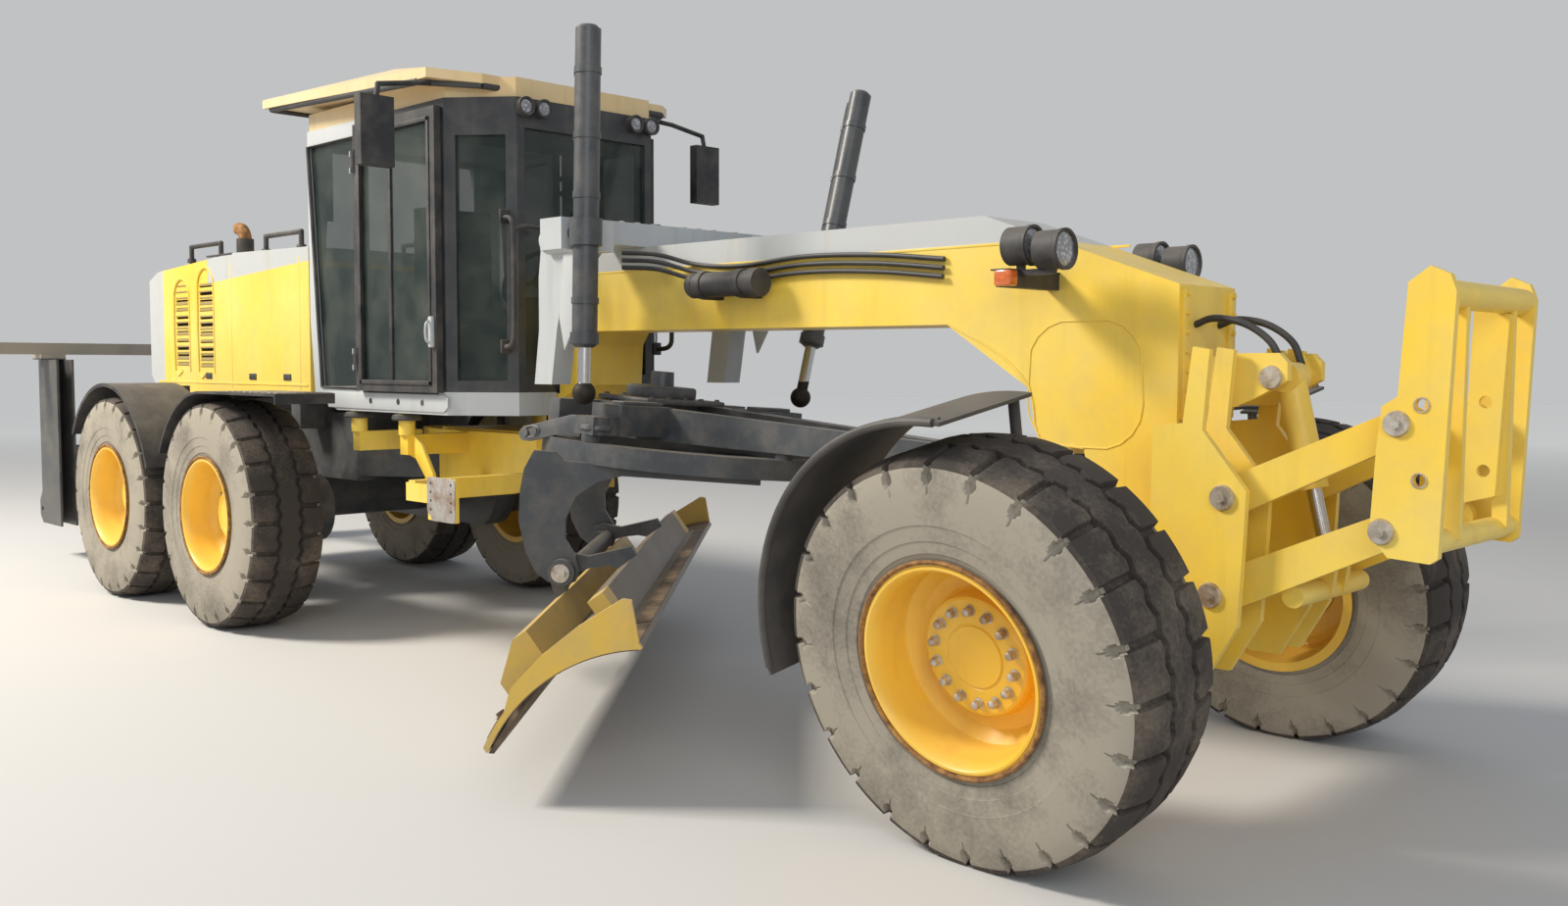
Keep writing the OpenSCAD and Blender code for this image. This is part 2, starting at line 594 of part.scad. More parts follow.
// A flat arm between two pin holes, a wide and e wide at the ends
module arm(from, to, wide, t) difference() {
    rotate([90, 0, 0]) linear_extrude(t, center = true) hull() {
        translate(from) circle(r = wide);
        translate(to) circle(r = wide * 0.8);
    }
    for (p = [from, to]) translate([p.x, 0, p.y]) along_y(pin_r, t + 10);
}
module upper_arm() color(yellow) both_sides() {
    translate([0, arm_in_y - 28, 0]) arm(upper_pin, upper_pin + arm_v, 62, 44);
    translate([upper_pin.x + arm_v.x, arm_in_y, upper_pin.y + arm_v.y]) along_y(pin_r - pin_fit, 150);
}
module lower_arm() color(yellow) {
    both_sides() {
        translate([0, arm_in_y - 28, 0]) arm(lower_pin, lower_pin + arm_v, 66, 44);
        translate([lower_pin.x + arm_v.x, arm_in_y, lower_pin.y + arm_v.y])
            along_y(pin_r - pin_fit, 150);
        // Fork for the lift cylinder's rod, on a cross tube
        difference() {
            side_plate_at(50, [[tool_foot.x - 60, tool_foot.z - 10], [tool_foot.x - 20, tool_foot.z + 45],
                [tool_foot.x + 30, tool_foot.z + 40], [tool_foot.x + 50, tool_foot.z - 30],
                [tool_foot.x + 40, tool_foot.z - 110], [tool_foot.x - 40, tool_foot.z - 125]], 30);
            translate([tool_foot.x, 50, tool_foot.z]) along_y(pin_r, 60);
        }
        // The pin's two ends, clear of the rod's eye, which drifts
        translate([tool_foot.x, 55, tool_foot.z]) along_y(pin_r - pin_fit, 48);
    }
    translate([tool_foot.x, 0, tool_foot.z - 100]) along_y(36, 2 * arm_in_y - 80);
}
// The coupler: two pairs of plates joined by tubes across and two flat uprights
module coupler() color(yellow) {
    outer = [[coupler_x - 235, 1040], [coupler_x - 180, 975], [coupler_x - 60, 968],
             [coupler_x - 38, 985], [coupler_x - 12, 1750], [coupler_x - 30, 1800],
             [coupler_x - 85, 1825], [coupler_x - 145, 1780], [coupler_x - 165, 1450],
             [coupler_x - 210, 1420], [coupler_x - 222, 1290]];
    inner = [[coupler_x - 160, 1100], [coupler_x - 60, 1130], [coupler_x - 35, 1700],
             [coupler_x - 140, 1735]];
    both_sides() {
        difference() {
            side_plate_at(coupler_y - 15, outer, 30);
            for (p = [upper_pin + arm_v, lower_pin + arm_v])
                translate([p.x, coupler_y - 15, p.y]) along_y(pin_r, 60);
            for (z = hook_z) translate([hook_x, coupler_y - 15, z]) along_y(hook_r, 60);
        }
        difference() {
            side_plate_at(185, inner, 24);
            for (z = hook_z) translate([hook_x, 185, z]) along_y(hook_r, 60);
        }
        span([coupler_x - 75, 198, 1030], [coupler_x - 30, 226, 1750]);
    }
    translate([coupler_x - 55, 0, 1745]) along_y(42, 2 * coupler_y - 40);
    translate([coupler_x - 75, 0, 1025]) along_y(36, 2 * coupler_y - 40);
}
hook_r = 20;
hook_x = coupler_x - 97;
hook_z = [1426, 1208];
tool_dir = (tool_foot - tool_top) / norm(tool_foot - tool_top);
module tool_barrel() color(yellow) difference() {
    union() {
        bar(tool_top + tool_dir * 20, tool_top + tool_dir * 380, 48);
        translate(tool_top) along_y(50, 100);
    }
    translate(tool_top) along_y(pin_r, 110);
    bar(tool_top + tool_dir * 80, tool_top + tool_dir * 390, tool_rod_r + pin_fit);
}
tool_rod_r = 25;
module tool_rod() color(steel) difference() {
    union() {
        bar(tool_top + tool_dir * 140, tool_foot - tool_dir * 20, tool_rod_r);
        translate(tool_foot) along_y(36, 56);
    }
    translate(tool_foot) along_y(pin_r, 110);
}

// Cab

// The cab's walls: its side outline cut from its plan, hollow, with every window cut
function cab_side(t) = [
    [-cab_rear + 265, cab_low + t], [-cab_rear, cab_low + 70 + t], [-cab_rear - cab_lean, roof_z + 1 - t],
    [-3000, roof_z + 1 - t], [-3000, cab_low + t]];
module cab_body(inset) intersection() {
    translate([0, 0, cab_low]) linear_extrude(roof_z - cab_low) cab_plan(inset);
    side_plate(cab_side(inset), cab_w + 10);
}
module cab_shell() color(silver) {
    // Hinges of the doors
    both_sides() for (z = door_hinges) hinge_at(z) {
        for (s = [-1, 1]) translate([0, 0, s * 45.3]) {
            cylinder(r = 20, h = 30, center = true);
            span([-32, -door_t - 1, -15], [0, 10, 15]);
        }
        cylinder(r = 10 - pin_fit, h = 110, center = true);
    }
    difference() {
    cab_body(0);
    cab_body(wall_t);
    // Tunnel for the frame's drop
    translate([-screen_x + 20, 0, cab_low - 1]) span([-135, -neck_w / 2 - clear, 0],
                                                     [135, neck_w / 2 + clear, 132]);
    both_sides() {
        // Rear side window and door opening
        side_plate_at(cab_y, rear_window(), 3 * wall_t);
        side_plate_at(cab_y, door_hole(), 3 * wall_t);
        // Angled front corner: one window from roof to sill
        translate([-(cab_front + screen_x) / 2, (cab_y + screen_w / 2) / 2, 0]) rotate(corner_a)
            span([-3 * wall_t, -corner_l / 2 + 60, 1450], [3 * wall_t, corner_l / 2 - 60, visor_z - 40]);
    }
    // Windscreen and rear window
    span([-screen_x - 3 * wall_t, -screen_w / 2 + 45, 1480], [-screen_x + 10, screen_w / 2 - 45, visor_z]);
    span([-cab_rear - 3 * wall_t, -cab_y + 190, hood_top + 60], [-cab_rear + 30, cab_y - 190, roof_z - 90]);
    }
}
wall_t = 55;
visor_z = 2740;
corner_l = norm([cab_front - screen_x, cab_y - screen_w / 2]);
corner_a = atan2(cab_front - screen_x, cab_y - screen_w / 2);
// Outlines in side view
function rear_window() = [[-door_hinge_x - 60, 1400], [-door_hinge_x - 60, 2800],
                          [-cab_rear - 40, 2800], [-cab_rear + 90, 1400]];
function door_hole() = [[-door_hinge_x - 12, sill_z - 12], [-cab_front - 78, sill_z - 12],
                            [-cab_front - 78, roof_z - 50], [-door_hinge_x - 12, roof_z - 50]];
// The cab's plan, t inside its outline
module cab_plan(t) polygon([
    [-cab_rear - cab_lean + t, -cab_y + 150], [-cab_rear - cab_lean + 120 + t * 0.4, -cab_y + t],
    [-cab_front - t * 0.4, -cab_y + t], [-screen_x - t, -screen_w / 2 + t * 0.4],
    [-screen_x - t, screen_w / 2 - t * 0.4], [-cab_front - t * 0.4, cab_y - t],
    [-cab_rear - cab_lean + 120 + t * 0.4, cab_y - t], [-cab_rear - cab_lean + t, cab_y - 150]]);

// Roof: a thin crowned lid over the visor band
module cab_roof() color(tan) {
    hull() {
        span([-5560, -cab_y - 110, 3055], [-5500, cab_y + 110, 3055 + roof_t]);
        span([-4800, -cab_y + 60, 3080], [-4300, cab_y - 60, 3128]);
        span([-3790, -cab_y - 110, 2975], [-3700, cab_y + 110, 2975 + roof_t]);
        span([-3520, -cab_y + 90, 2945], [-3500, cab_y - 90, 2945 + roof_t]);
    }
    translate([0, 0, roof_z + 0.3]) linear_extrude(100) intersection() {
        cab_plan(12);
        translate([-5300, -cab_y]) square([2000, 2 * cab_y]);
    }
}
module cab_glass() color(glass) {
    // Windscreen and the two angled panes
    span([-screen_x - 30, -screen_w / 2 + 45.3, 1480.3], [-screen_x - 30 + glass_t, screen_w / 2 - 45.3,
                                                          visor_z - 0.3]);
    both_sides() {
        translate([-(cab_front + screen_x) / 2, (cab_y + screen_w / 2) / 2, 0]) rotate(corner_a)
            span([-30, -corner_l / 2 + 60.3, 1450.3], [-30 + glass_t, corner_l / 2 - 60.3,
                                                       visor_z - 40.3]);
        side_plate_at(cab_y - 20, [[-door_hinge_x - 60.3, 1400.3], [-door_hinge_x - 60.3, 2799.7],
            [-cab_rear - 39.3, 2799.7], [-cab_rear + 90.7, 1400.3]], glass_t);
    }
}
module cab_seat() color(black) {
    span([-4700, -240, 1750], [-4200, 240, 1850]);
    span([-4800, -230, 1800], [-4690, 230, 2450]);
    span([-4550, -100, cab_low + wall_t + skin], [-4350, 100, 1751]);
}
module cab_console() color(black) {
    span([-3850, -120, cab_low + wall_t + skin], [-3650, 120, 1900]);
    bar([-3760, 0, 1890], [-3900, 0, 2000], 22);
    translate([-3900, 0, 2000]) rotate([0, -52, 0]) {
        rotate_extrude() translate([190, 0]) circle(15);
        for (a = [0, 120, 240]) rotate(a) translate([95, 0, 0]) cube([196, 26, 12], center = true);
    }
}
// Mirrors on looped tubes from the roof's corners
module mirrors() color(black) both_sides() {
    span([-3720, cab_y + 310, 2500], [-3660, cab_y + 490, 2840]);
    bent_tube([[-3740, cab_y + 60, 2955.2], [-3700, cab_y + 150, 2940], [-3690, cab_y + 380, 2900],
               [-3680, cab_y + 400, 2780]], 13);
}

// Doors, hinged at their rear edge
module door(side) mirror([0, side > 0 ? 0 : 1, 0]) color(black) difference() {
    union() {
        difference() {
            span([-door_hinge_x, cab_y + clear, sill_z],
                 [-cab_front - 20, cab_y + clear + door_t, roof_z - 40]);
            span([-door_hinge_x + 60, cab_y - 10, sill_z + 50],
                 [-cab_front - 80, cab_y + door_t + 20, roof_z - 100]);
            for (z = door_hinges) hinge_at(z) cylinder(r = 26, h = 130, center = true);
        }
        for (z = door_hinges) hinge_at(z) {
            cylinder(r = 20, h = 60, center = true);
            span([0, -20, -30], [40, -2, 30]);
        }
    }
    for (z = door_hinges) hinge_at(z) cylinder(r = 10, h = 200, center = true);
}
door_hinges = [1560, 2650];
module hinge_at(z) translate([-door_hinge_x, cab_y + door_t, z]) children();
module door_glass(side) mirror([0, side > 0 ? 0 : 1, 0]) color(glass)
    span([-door_hinge_x + 60.3, cab_y + 20, sill_z + 50.3],
         [-cab_front - 80.3, cab_y + 20 + glass_t, roof_z - 100.3]);

// Work lamps on the gooseneck, over the windscreen and at the roof's rear
lamp_table = [ // x, y, z, r, depth
    [-330, 440, 1955, 68, 90], [-200, 440, 1935, 68, 90], [-330, -440, 1955, 68, 90],
    [-200, -440, 1935, 68, 90], [-3399, -410, 2840, 44, 41], [-3399, -300, 2840, 44, 41],
    [-3399, 300, 2840, 44, 41], [-3399, 410, 2840, 44, 41],
    [-5461, 470, 2992.8, 55, 60], [-5461, -470, 2992.8, 55, 60]];
module neck_lamps() color(black) {
    for (l = lamp_table) translate([l[0], l[1], l[2]]) along_x(l[3], l[4]);
    // Lamp bar on the neck
    both_sides() {
        span([-380, neck_w / 2 + 0.3, 1810], [-330, 520, 1870]);
        for (x = [-330, -200]) span([x - 12, 428, 1860], [x + 12, 452, 1900]);
        span([-345, 428, 1850], [-190, 452, 1872]);
    }
}
module accumulator() color(black) {
    translate([-2030, -300, 1895]) along_x(56, 380);
    for (x = [2150, 1900]) span([-x - 20, -300, 1830], [-x + 20, -neck_w / 2 - 0.3, 1870]);
    translate([-1815, -300, 1895]) along_x(62, 60);
}

// Drawbar group: drawn level and straight, then swung, lifted and rolled about the ball

module hung() translate([-ball_x, 0, ball_z]) rotate([0, 0, swing_rest]) rotate([0, lift_rest, 0])
    rotate([-roll_rest, 0, 0]) translate([ball_x, 0, -ball_z]) children();
module turned() translate([-circle_x, 0, 0]) rotate(circle_rest) children();

rail_t = 90;
ball_r = 65;
module draft_ball() color(slate) translate([-ball_x, 0, ball_z]) {
    rotate([0, 0, swing_rest]) rotate([90, 0, 0]) sphere(ball_r);
    cylinder(r = 30, h = 240, center = true);
}
module drawbar() hung() color(slate) difference() {
    union() {
        both_sides() hull() {
            span([-ball_x - 300, 0, ball_z - 45], [-ball_x - 80, 70, ball_z + 45]);
            span([-circle_x - 500, 300, ball_z - 90], [-circle_x - 400, 390, ball_z + 75]);
        }
        intersection() {
            span([-circle_x - 600, -620, ball_z - 60], [-circle_x - 330, 620, ball_z + 75]);
            translate([-ball_x, 0, 0]) cylinder(r = 2500, h = 3000, $fn = 120);
        }
        both_sides() {
            span([-circle_x - 120, 300, ball_z - 60], [-circle_x + 80, 605, ball_z + 75]);
            span([-circle_x - 60, 600, ball_z - 60], [-circle_x + 60, 745, ball_z + 20]);
        }
        translate([-ball_x, 0, ball_z]) cylinder(r = ball_r + 40, h = 90, center = true);
        both_sides() translate([-trunnion_x + 30, 687, ball_z - 60]) cylinder(r = 60, h = 78);
        // Shoes that ride on the circle's ring
        both_sides() for (a = [15.6, 90, 122.5])
            translate([-circle_x + 705 * cos(a), 705 * sin(a), ball_z - 95 + skin])
                cylinder(r = 40, h = 40);
    }
    translate([-ball_x, 0, ball_z]) sphere(ball_r + skin);
    translate([-ball_x, 0, ball_z]) cylinder(r1 = 70, r2 = 40, h = 100, center = true);
}
module turn_circle() hung() turned() color(slate) {
    difference() {
        translate([0, 0, ball_z - 95 - ring_t]) cylinder(r = circle_r, h = ring_t, $fn = 96);
        translate([0, 0, 0]) cylinder(r = circle_r - 110, h = 3000, $fn = 96);
    }
    // Arms that hold the blade's carrier
    both_sides() difference() {
        side_plate_at(arm_y, [[-560, 950], [-600, 985], [-690, 985], [-728, 900], [-738, 806],
            [-735, 674], [-695, 540], [-645, 455], [-588, 418], [-527, 405], [-470, 428], [-455, 480],
            [-480, 545], [-526, 607], [-535, 689], [-495, 800], [-405, 872], [-300, 905], [300, 915],
            [300, 950]], 32);
        translate([carrier_x, arm_y, carrier_z]) along_y(40, 60);
    }
}
edge_x = -560;
edge_z = 30;
module blade_frame() translate([edge_x, 0, edge_z]) rotate([0, -blade_pitch, 0]) children();
// The carrier pitches between the circle's arms; its blocks lie on the moldboard's two rails
low_rail_h = 237;
top_rail_h = 195;
module blade_carrier() hung() turned() color(slate) {
    both_sides() translate([carrier_x, 0, carrier_z]) {
        translate([0, arm_y - 40, 0]) along_y(40 - pin_fit, 200);
        translate([0, arm_y + 42, 0]) along_y(58, 50);
        translate([0, arm_y - 56, 0]) along_y(62, 70);
    }
    blade_frame() {
        both_sides() side_plate_at(arm_y - 60, [[195, low_rail_h + skin], [222, 330], [250, 375],
            [300, 392], [350, 378], [420, 310], [600, 240], [600, top_rail_h + skin],
            [500, top_rail_h + skin], [470, 225], [400, 262], [350, 275], [300, 268],
            [254, low_rail_h + skin]], 40);
        translate([330, 0, 305]) along_y(38, 2 * arm_y - 140);
    }
}
module moldboard() hung() turned() blade_frame() color(yellow) {
    rotate([90, 0, 0]) linear_extrude(blade_l, center = true) blade_profile();
    // Slide rails along the back: a folded one low down and a square one at the top
    side_plate([[60, 30], [60, 127], [193, low_rail_h], [254, low_rail_h], [254, 80]], blade_rail_l);
    side_plate([[505, 50], [505, top_rail_h], [575, top_rail_h], [575, 30]], blade_rail_l);
    // Guards at the ends, standing up past the upper edge
    both_sides() side_plate_at(blade_l / 2 - 13, [[110, 45], [330, 84], [560, 45], [650, 2], [662, 2],
        [723, 136], [700, 158], [520, 166], [350, 153], [200, 120]], 26);
}
module blade_profile() {
    r = (pow(blade_h / 2, 2) + pow(blade_bulge, 2)) / (2 * blade_bulge);
    intersection() {
        translate([blade_h / 2, blade_bulge - r]) difference() {
            circle(r = r, $fn = 120);
            circle(r = r - blade_t, $fn = 120);
        }
        translate([0, -blade_t]) square([blade_h, blade_bulge + 2 * blade_t]);
    }
}

// Lift cylinders

function lift_foot(side) = [-trunnion_x, side * 687 - 113, 1390 - side * 20];
function lift_top(side) = [-trunnion_x, side * trunnion_y, trunnion_z];
module lift_barrel(side) color(slate) {
    a = lift_top(side);
    d = (a - lift_foot(side)) / norm(a - lift_foot(side));
    difference() {
        union() {
            bar(a - d * lift_down, a + d * lift_up, lift_r);
            bar(a - d * 60, a + d * 60, lift_r + 16);
            bar(a - d * lift_down, a - d * (lift_down - 50), lift_r + 8);
            translate(a - [trunnion_pin_l / 2, 0, 0]) along_x(trunnion_pin_r, trunnion_pin_l);
        }
        bar(a - d * (lift_down + 10), a + d * (lift_up - 60), lift_rod_r + pin_fit);
    }
}
rod_ball_r = 52;
trunnion_pin_r = 34;
trunnion_pin_l = 150;
// Length of a rod inside its barrel at rest
rod_in = 640;
module lift_rod(side) color(steel) {
    a = lift_top(side);
    d = (a - lift_foot(side)) / norm(a - lift_foot(side));
    bar(lift_foot(side), a - d * (lift_down - rod_in), lift_rod_r);
    translate(lift_foot(side)) sphere(rod_ball_r);
}

// Moves the whole onto the middle of its own box
function about_z(p, a) = [p.x * cos(a) - p.y * sin(a), p.x * sin(a) + p.y * cos(a), p.z];
function about_y(p, a) = [p.x * cos(a) + p.z * sin(a), p.y, p.z * cos(a) - p.x * sin(a)];
function about_x(p, a) = [p.x, p.y * cos(a) - p.z * sin(a), p.y * sin(a) + p.z * cos(a)];
// Where a point of the level drawbar group lies at rest
function hung_at(p) = [-ball_x, 0, ball_z]
    + about_z(about_y(about_x(p - [-ball_x, 0, ball_z], -roll_rest), lift_rest), swing_rest);
function turned_at(p) = about_z(p, circle_rest) - [circle_x, 0, 0];
blade_corner = hung_at(turned_at([edge_x - blade_t * sin(blade_pitch), -blade_l / 2,
                                  edge_z + blade_t * cos(blade_pitch)]));
tyre_left = track_half + max(tyre_w / 2 * cos(lean_rest) + tyre_r * 0.76 * sin(lean_rest),
                             tyre_w * 0.485 * cos(lean_rest) + tyre_r * 0.90 * sin(lean_rest),
                             tread_w / 2 * cos(lean_rest) + tread_edge_r * sin(lean_rest));
shift_x = (mast_x - coupler_x) / 2;
shift_y = -(tyre_left + blade_corner.y) / 2;
module placed() translate([shift_x, shift_y, 0]) children();

placed() rear_frame();
placed() hood();
placed() engine_block();
placed() hood_rails();
placed() tandem_cases();
placed() rear_fenders();
placed() rear_mast();
placed() main_frame();
placed() ball_ears();
placed() saddle();
placed() front_axle();
placed() lift_base();
placed() cab_shell();
placed() cab_roof();
placed() cab_glass();
placed() cab_seat();
placed() cab_console();
placed() mirrors();
placed() neck_lamps();
placed() accumulator();
placed() door(1);  // door_left
placed() door(-1);  // door_right
placed() door_glass(1);  // door_glass_left
placed() door_glass(-1);  // door_glass_right
placed() yoke(1);  // yoke_left
placed() yoke(-1);  // yoke_right
placed() knuckle(1);  // knuckle_left
placed() knuckle(-1);  // knuckle_right
placed() lean_bar();
placed() front_fender(1);  // front_fender_left
placed() front_fender(-1);  // front_fender_right
placed() front_wheel(1) rim();  // rim_front_left
placed() front_wheel(-1) rim();  // rim_front_right
placed() rear_wheel(tandem_front_x, 1) rim();  // rim_middle_left
placed() rear_wheel(tandem_front_x, -1) rim();  // rim_middle_right
placed() rear_wheel(tandem_rear_x, 1) rim();  // rim_rear_left
placed() rear_wheel(tandem_rear_x, -1) rim();  // rim_rear_right
placed() front_wheel(1) tyre();  // tyre_front_left
placed() front_wheel(-1) tyre();  // tyre_front_right
placed() rear_wheel(tandem_front_x, 1) tyre();  // tyre_middle_left
placed() rear_wheel(tandem_front_x, -1) tyre();  // tyre_middle_right
placed() rear_wheel(tandem_rear_x, 1) tyre();  // tyre_rear_left
placed() rear_wheel(tandem_rear_x, -1) tyre();  // tyre_rear_right
placed() lift_barrel(1);  // lift_barrel_left
placed() lift_barrel(-1);  // lift_barrel_right
placed() lift_rod(1);  // lift_rod_left
placed() lift_rod(-1);  // lift_rod_right
placed() draft_ball();
placed() drawbar();
placed() turn_circle();  // circle
placed() blade_carrier();
placed() moldboard();
placed() upper_arm();
placed() lower_arm();
placed() coupler();
placed() tool_barrel();
placed() tool_rod();
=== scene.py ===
import math
from math import cos, pi, radians, sin
import bmesh
import bpy
from mathutils import Matrix, Vector


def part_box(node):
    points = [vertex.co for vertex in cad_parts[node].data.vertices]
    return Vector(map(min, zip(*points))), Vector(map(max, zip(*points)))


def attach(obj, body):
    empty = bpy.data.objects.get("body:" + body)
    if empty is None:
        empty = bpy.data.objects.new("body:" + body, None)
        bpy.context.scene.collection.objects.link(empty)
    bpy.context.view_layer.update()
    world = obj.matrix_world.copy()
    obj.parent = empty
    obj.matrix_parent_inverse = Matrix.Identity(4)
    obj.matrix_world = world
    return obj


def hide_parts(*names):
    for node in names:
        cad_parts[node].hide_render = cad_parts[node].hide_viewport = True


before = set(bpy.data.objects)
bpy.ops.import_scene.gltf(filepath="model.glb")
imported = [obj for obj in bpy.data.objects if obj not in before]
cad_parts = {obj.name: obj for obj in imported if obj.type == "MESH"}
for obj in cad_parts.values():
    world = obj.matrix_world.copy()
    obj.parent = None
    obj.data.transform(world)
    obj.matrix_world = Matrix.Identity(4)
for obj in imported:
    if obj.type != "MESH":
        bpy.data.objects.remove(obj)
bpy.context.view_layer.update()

axle_low, axle_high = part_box("front_axle")
datum = Vector(((axle_low[0] + axle_high[0]) / 2, (axle_low[1] + axle_high[1]) / 2, 0))


def at(x, y, z):
    return datum + Vector((x, y, z))


camera = bpy.data.objects.new("camera", bpy.data.cameras.new("camera"))
bpy.context.collection.objects.link(camera)
camera.location = at(2.4643, -4.4348, 1.5339)
heading, dip, roll = radians(44.79), radians(3.687), radians(0.192)
camera.rotation_euler = (Matrix.Rotation(heading, 3, "Z") @ Matrix.Rotation(pi / 2 - dip, 3, "X")
                         @ Matrix.Rotation(roll, 3, "Z")).to_euler()
camera.data.sensor_width = 36
camera.data.lens = 31.171
camera.data.clip_end = 200
bpy.context.scene.camera = camera

# Studio: a pale floor that shades into a pale backdrop, a large soft key
# from behind the machine's right, as the sun stands, and a soft fill.
bpy.context.scene.view_settings.view_transform = "Standard"


class Wire:
    """One socket of a node tree; Python's operators on it add Math nodes."""

    def __init__(self, tree, socket):
        self.tree, self.socket = tree, socket

    def math(self, operation, *others):
        sockets = {0: self}
        sockets.update({i + 1: other for i, other in enumerate(others)})
        return add(self.tree, "ShaderNodeMath", {"operation": operation}, sockets)

    def __add__(self, other):
        return self.math("ADD", other)

    __radd__ = __add__

    def __mul__(self, other):
        return self.math("MULTIPLY", other)

    __rmul__ = __mul__

    def __sub__(self, other):
        return self.math("SUBTRACT", other)

    def __rsub__(self, other):
        return (self * -1) + other

    def __pow__(self, other):
        return self.math("POWER", other)

    def part(self, low, high):
        """0 below low, 1 above high, and straight between."""
        return add(self.tree, "ShaderNodeMapRange", {"clamp": True},
                   {"Value": self, "From Min": low, "From Max": high})


def add(tree, kind, settings=None, sockets=None, out=0):
    """A new node with its settings and its sockets' values or wires; gives one output."""
    node = tree.nodes.new(kind)
    for name, value in (settings or {}).items():
        setattr(node, name, value)
    for name, value in (sockets or {}).items():
        if isinstance(value, Wire):
            tree.links.new(value.socket, node.inputs[name])
        elif isinstance(value, tuple) and len(value) == 3 and node.inputs[name].type == "RGBA":
            node.inputs[name].default_value = (*value, 1)
        else:
            node.inputs[name].default_value = value
    return Wire(tree, node.outputs[out])


def finish(name, **fixed):
    """A new material with its tree, its shader and its Object coordinates."""
    material = bpy.data.materials.new(name)
    material.use_nodes = True
    tree = material.node_tree
    shader = tree.nodes["Principled BSDF"]
    for socket, value in fixed.items():
        shader.inputs[socket.replace("_", " ")].default_value = value
    place = add(tree, "ShaderNodeTexCoord", out=3)
    return material, tree, shader, place


def axis(tree, place, number):
    """One of the three coordinates of a place or a direction."""
    return add(tree, "ShaderNodeSeparateXYZ", {}, {0: place}, out=number)


def level_share(tree, low):
    """0 on steep faces, 1 on those that look straight up."""
    return axis(tree, add(tree, "ShaderNodeNewGeometry", out=1), 2).part(low, 1.0)


def noise(tree, place, scale, detail=4.0, rough=0.55, stretch=None):
    if stretch:
        place = add(tree, "ShaderNodeMapping", {}, {"Vector": place, "Scale": stretch})
    return add(tree, "ShaderNodeTexNoise", {}, {"Vector": place, "Scale": scale, "Detail": detail,
                                                "Roughness": rough})


def mix(tree, share, low, high):
    return add(tree, "ShaderNodeMix", {"data_type": "RGBA"}, {0: share, 6: low, 7: high}, out=2)


def feed(shader, **wires):
    """Links wires to the shader's sockets, named with _ for a space."""
    for socket, wire in wires.items():
        wire.tree.links.new(wire.socket, shader.inputs[socket.replace("_", " ")])


def bump(tree, height, strength=0.3, distance=0.002):
    return add(tree, "ShaderNodeBump", {}, {"Height": height, "Strength": strength,
                                            "Distance": distance})


floor_mesh = bmesh.new()
bmesh.ops.create_circle(floor_mesh, cap_ends=True, segments=96, radius=60)
floor = bpy.data.objects.new("floor", bpy.data.meshes.new("floor"))
floor_mesh.to_mesh(floor.data)
floor_mesh.free()
bpy.context.collection.objects.link(floor)
floor_finish, tree, shader, place = finish("floor_pale", Roughness=0.9)
shader.inputs["Base Color"].default_value = (0.62, 0.60, 0.57, 1)
shader.inputs["Emission Strength"].default_value = 1.0
# The floor's emission grows with distance: a painted glow that fades the far floor into the
# backdrop.
away = add(tree, "ShaderNodeVectorMath", {"operation": "LENGTH"}, {0: place}, out=1)
feed(shader, Emission_Color=mix(tree, away.part(11, 26), (0.0, 0.0, 0.0), (0.29, 0.29, 0.28)))
floor.data.materials.append(floor_finish)

world = bpy.data.worlds.new("studio")
bpy.context.scene.world = world
world.use_nodes = True
tree = world.node_tree
rays = tree.nodes.new("ShaderNodeLightPath")
camera_ray, glossy_ray, through_ray = [Wire(tree, rays.outputs[name]) for name in (
    "Is Camera Ray", "Is Glossy Ray", "Is Transmission Ray")]
shown = camera_ray.math("MAXIMUM", glossy_ray).math("MAXIMUM", through_ray)
backdrop = mix(tree, shown, (0.55, 0.60, 0.68), (0.86, 0.87, 0.88))
tree.links.new(backdrop.socket, tree.nodes["Background"].inputs["Color"])
tree.nodes["Background"].inputs["Strength"].default_value = 0.62


def lamp(name, place, aim, size, power, colour):
    light = bpy.data.objects.new(name, bpy.data.lights.new(name, "AREA"))
    light.data.size, light.data.energy, light.data.color = size, power, colour
    light.location = place
    light.rotation_euler = (aim - place).to_track_quat("-Z", "Y").to_euler()
    bpy.context.collection.objects.link(light)


lamp("key", at(-11, -9, 11), at(-3.5, 0, 1), 3.5, 2900, (1.0, 0.95, 0.86))
lamp("fill", at(9, -9, 7), at(-3, 0, 1), 8, 700, (0.90, 0.95, 1.0))

# Tyres: rubber grey with dried dust. Two zigzag grooves run round the tread,
# and keyhole notches, staggered from side to side, part each shoulder into 24
# blocks. One tyre is drawn about the origin and placed six times.
PITCHES, PITCH = 24, 0.1728
TYRE_R, SHOULDER_R, HALF_TREAD, HALF_FLAT, HALF_BAND = 0.66, 0.638, 0.2000, 0.112, 0.06
GROOVE_AT, GROOVE_HALF, GROOVE_DEEP, ZIGZAG = 0.056, 0.0086, 0.026, 0.017
# A notch is a straight neck over the tread with a round bulb down the shoulder
NECK_HALF, NECK_END, BULB_R, BULB_DOWN = 0.0115, 0.028, 0.019, 0.040
NOTCH_DEEP, RAMP = 0.02, 0.003
NOTCHED_FROM, TREAD_FROM = 0.56, 0.626
FRONT_LEAN = radians(10)


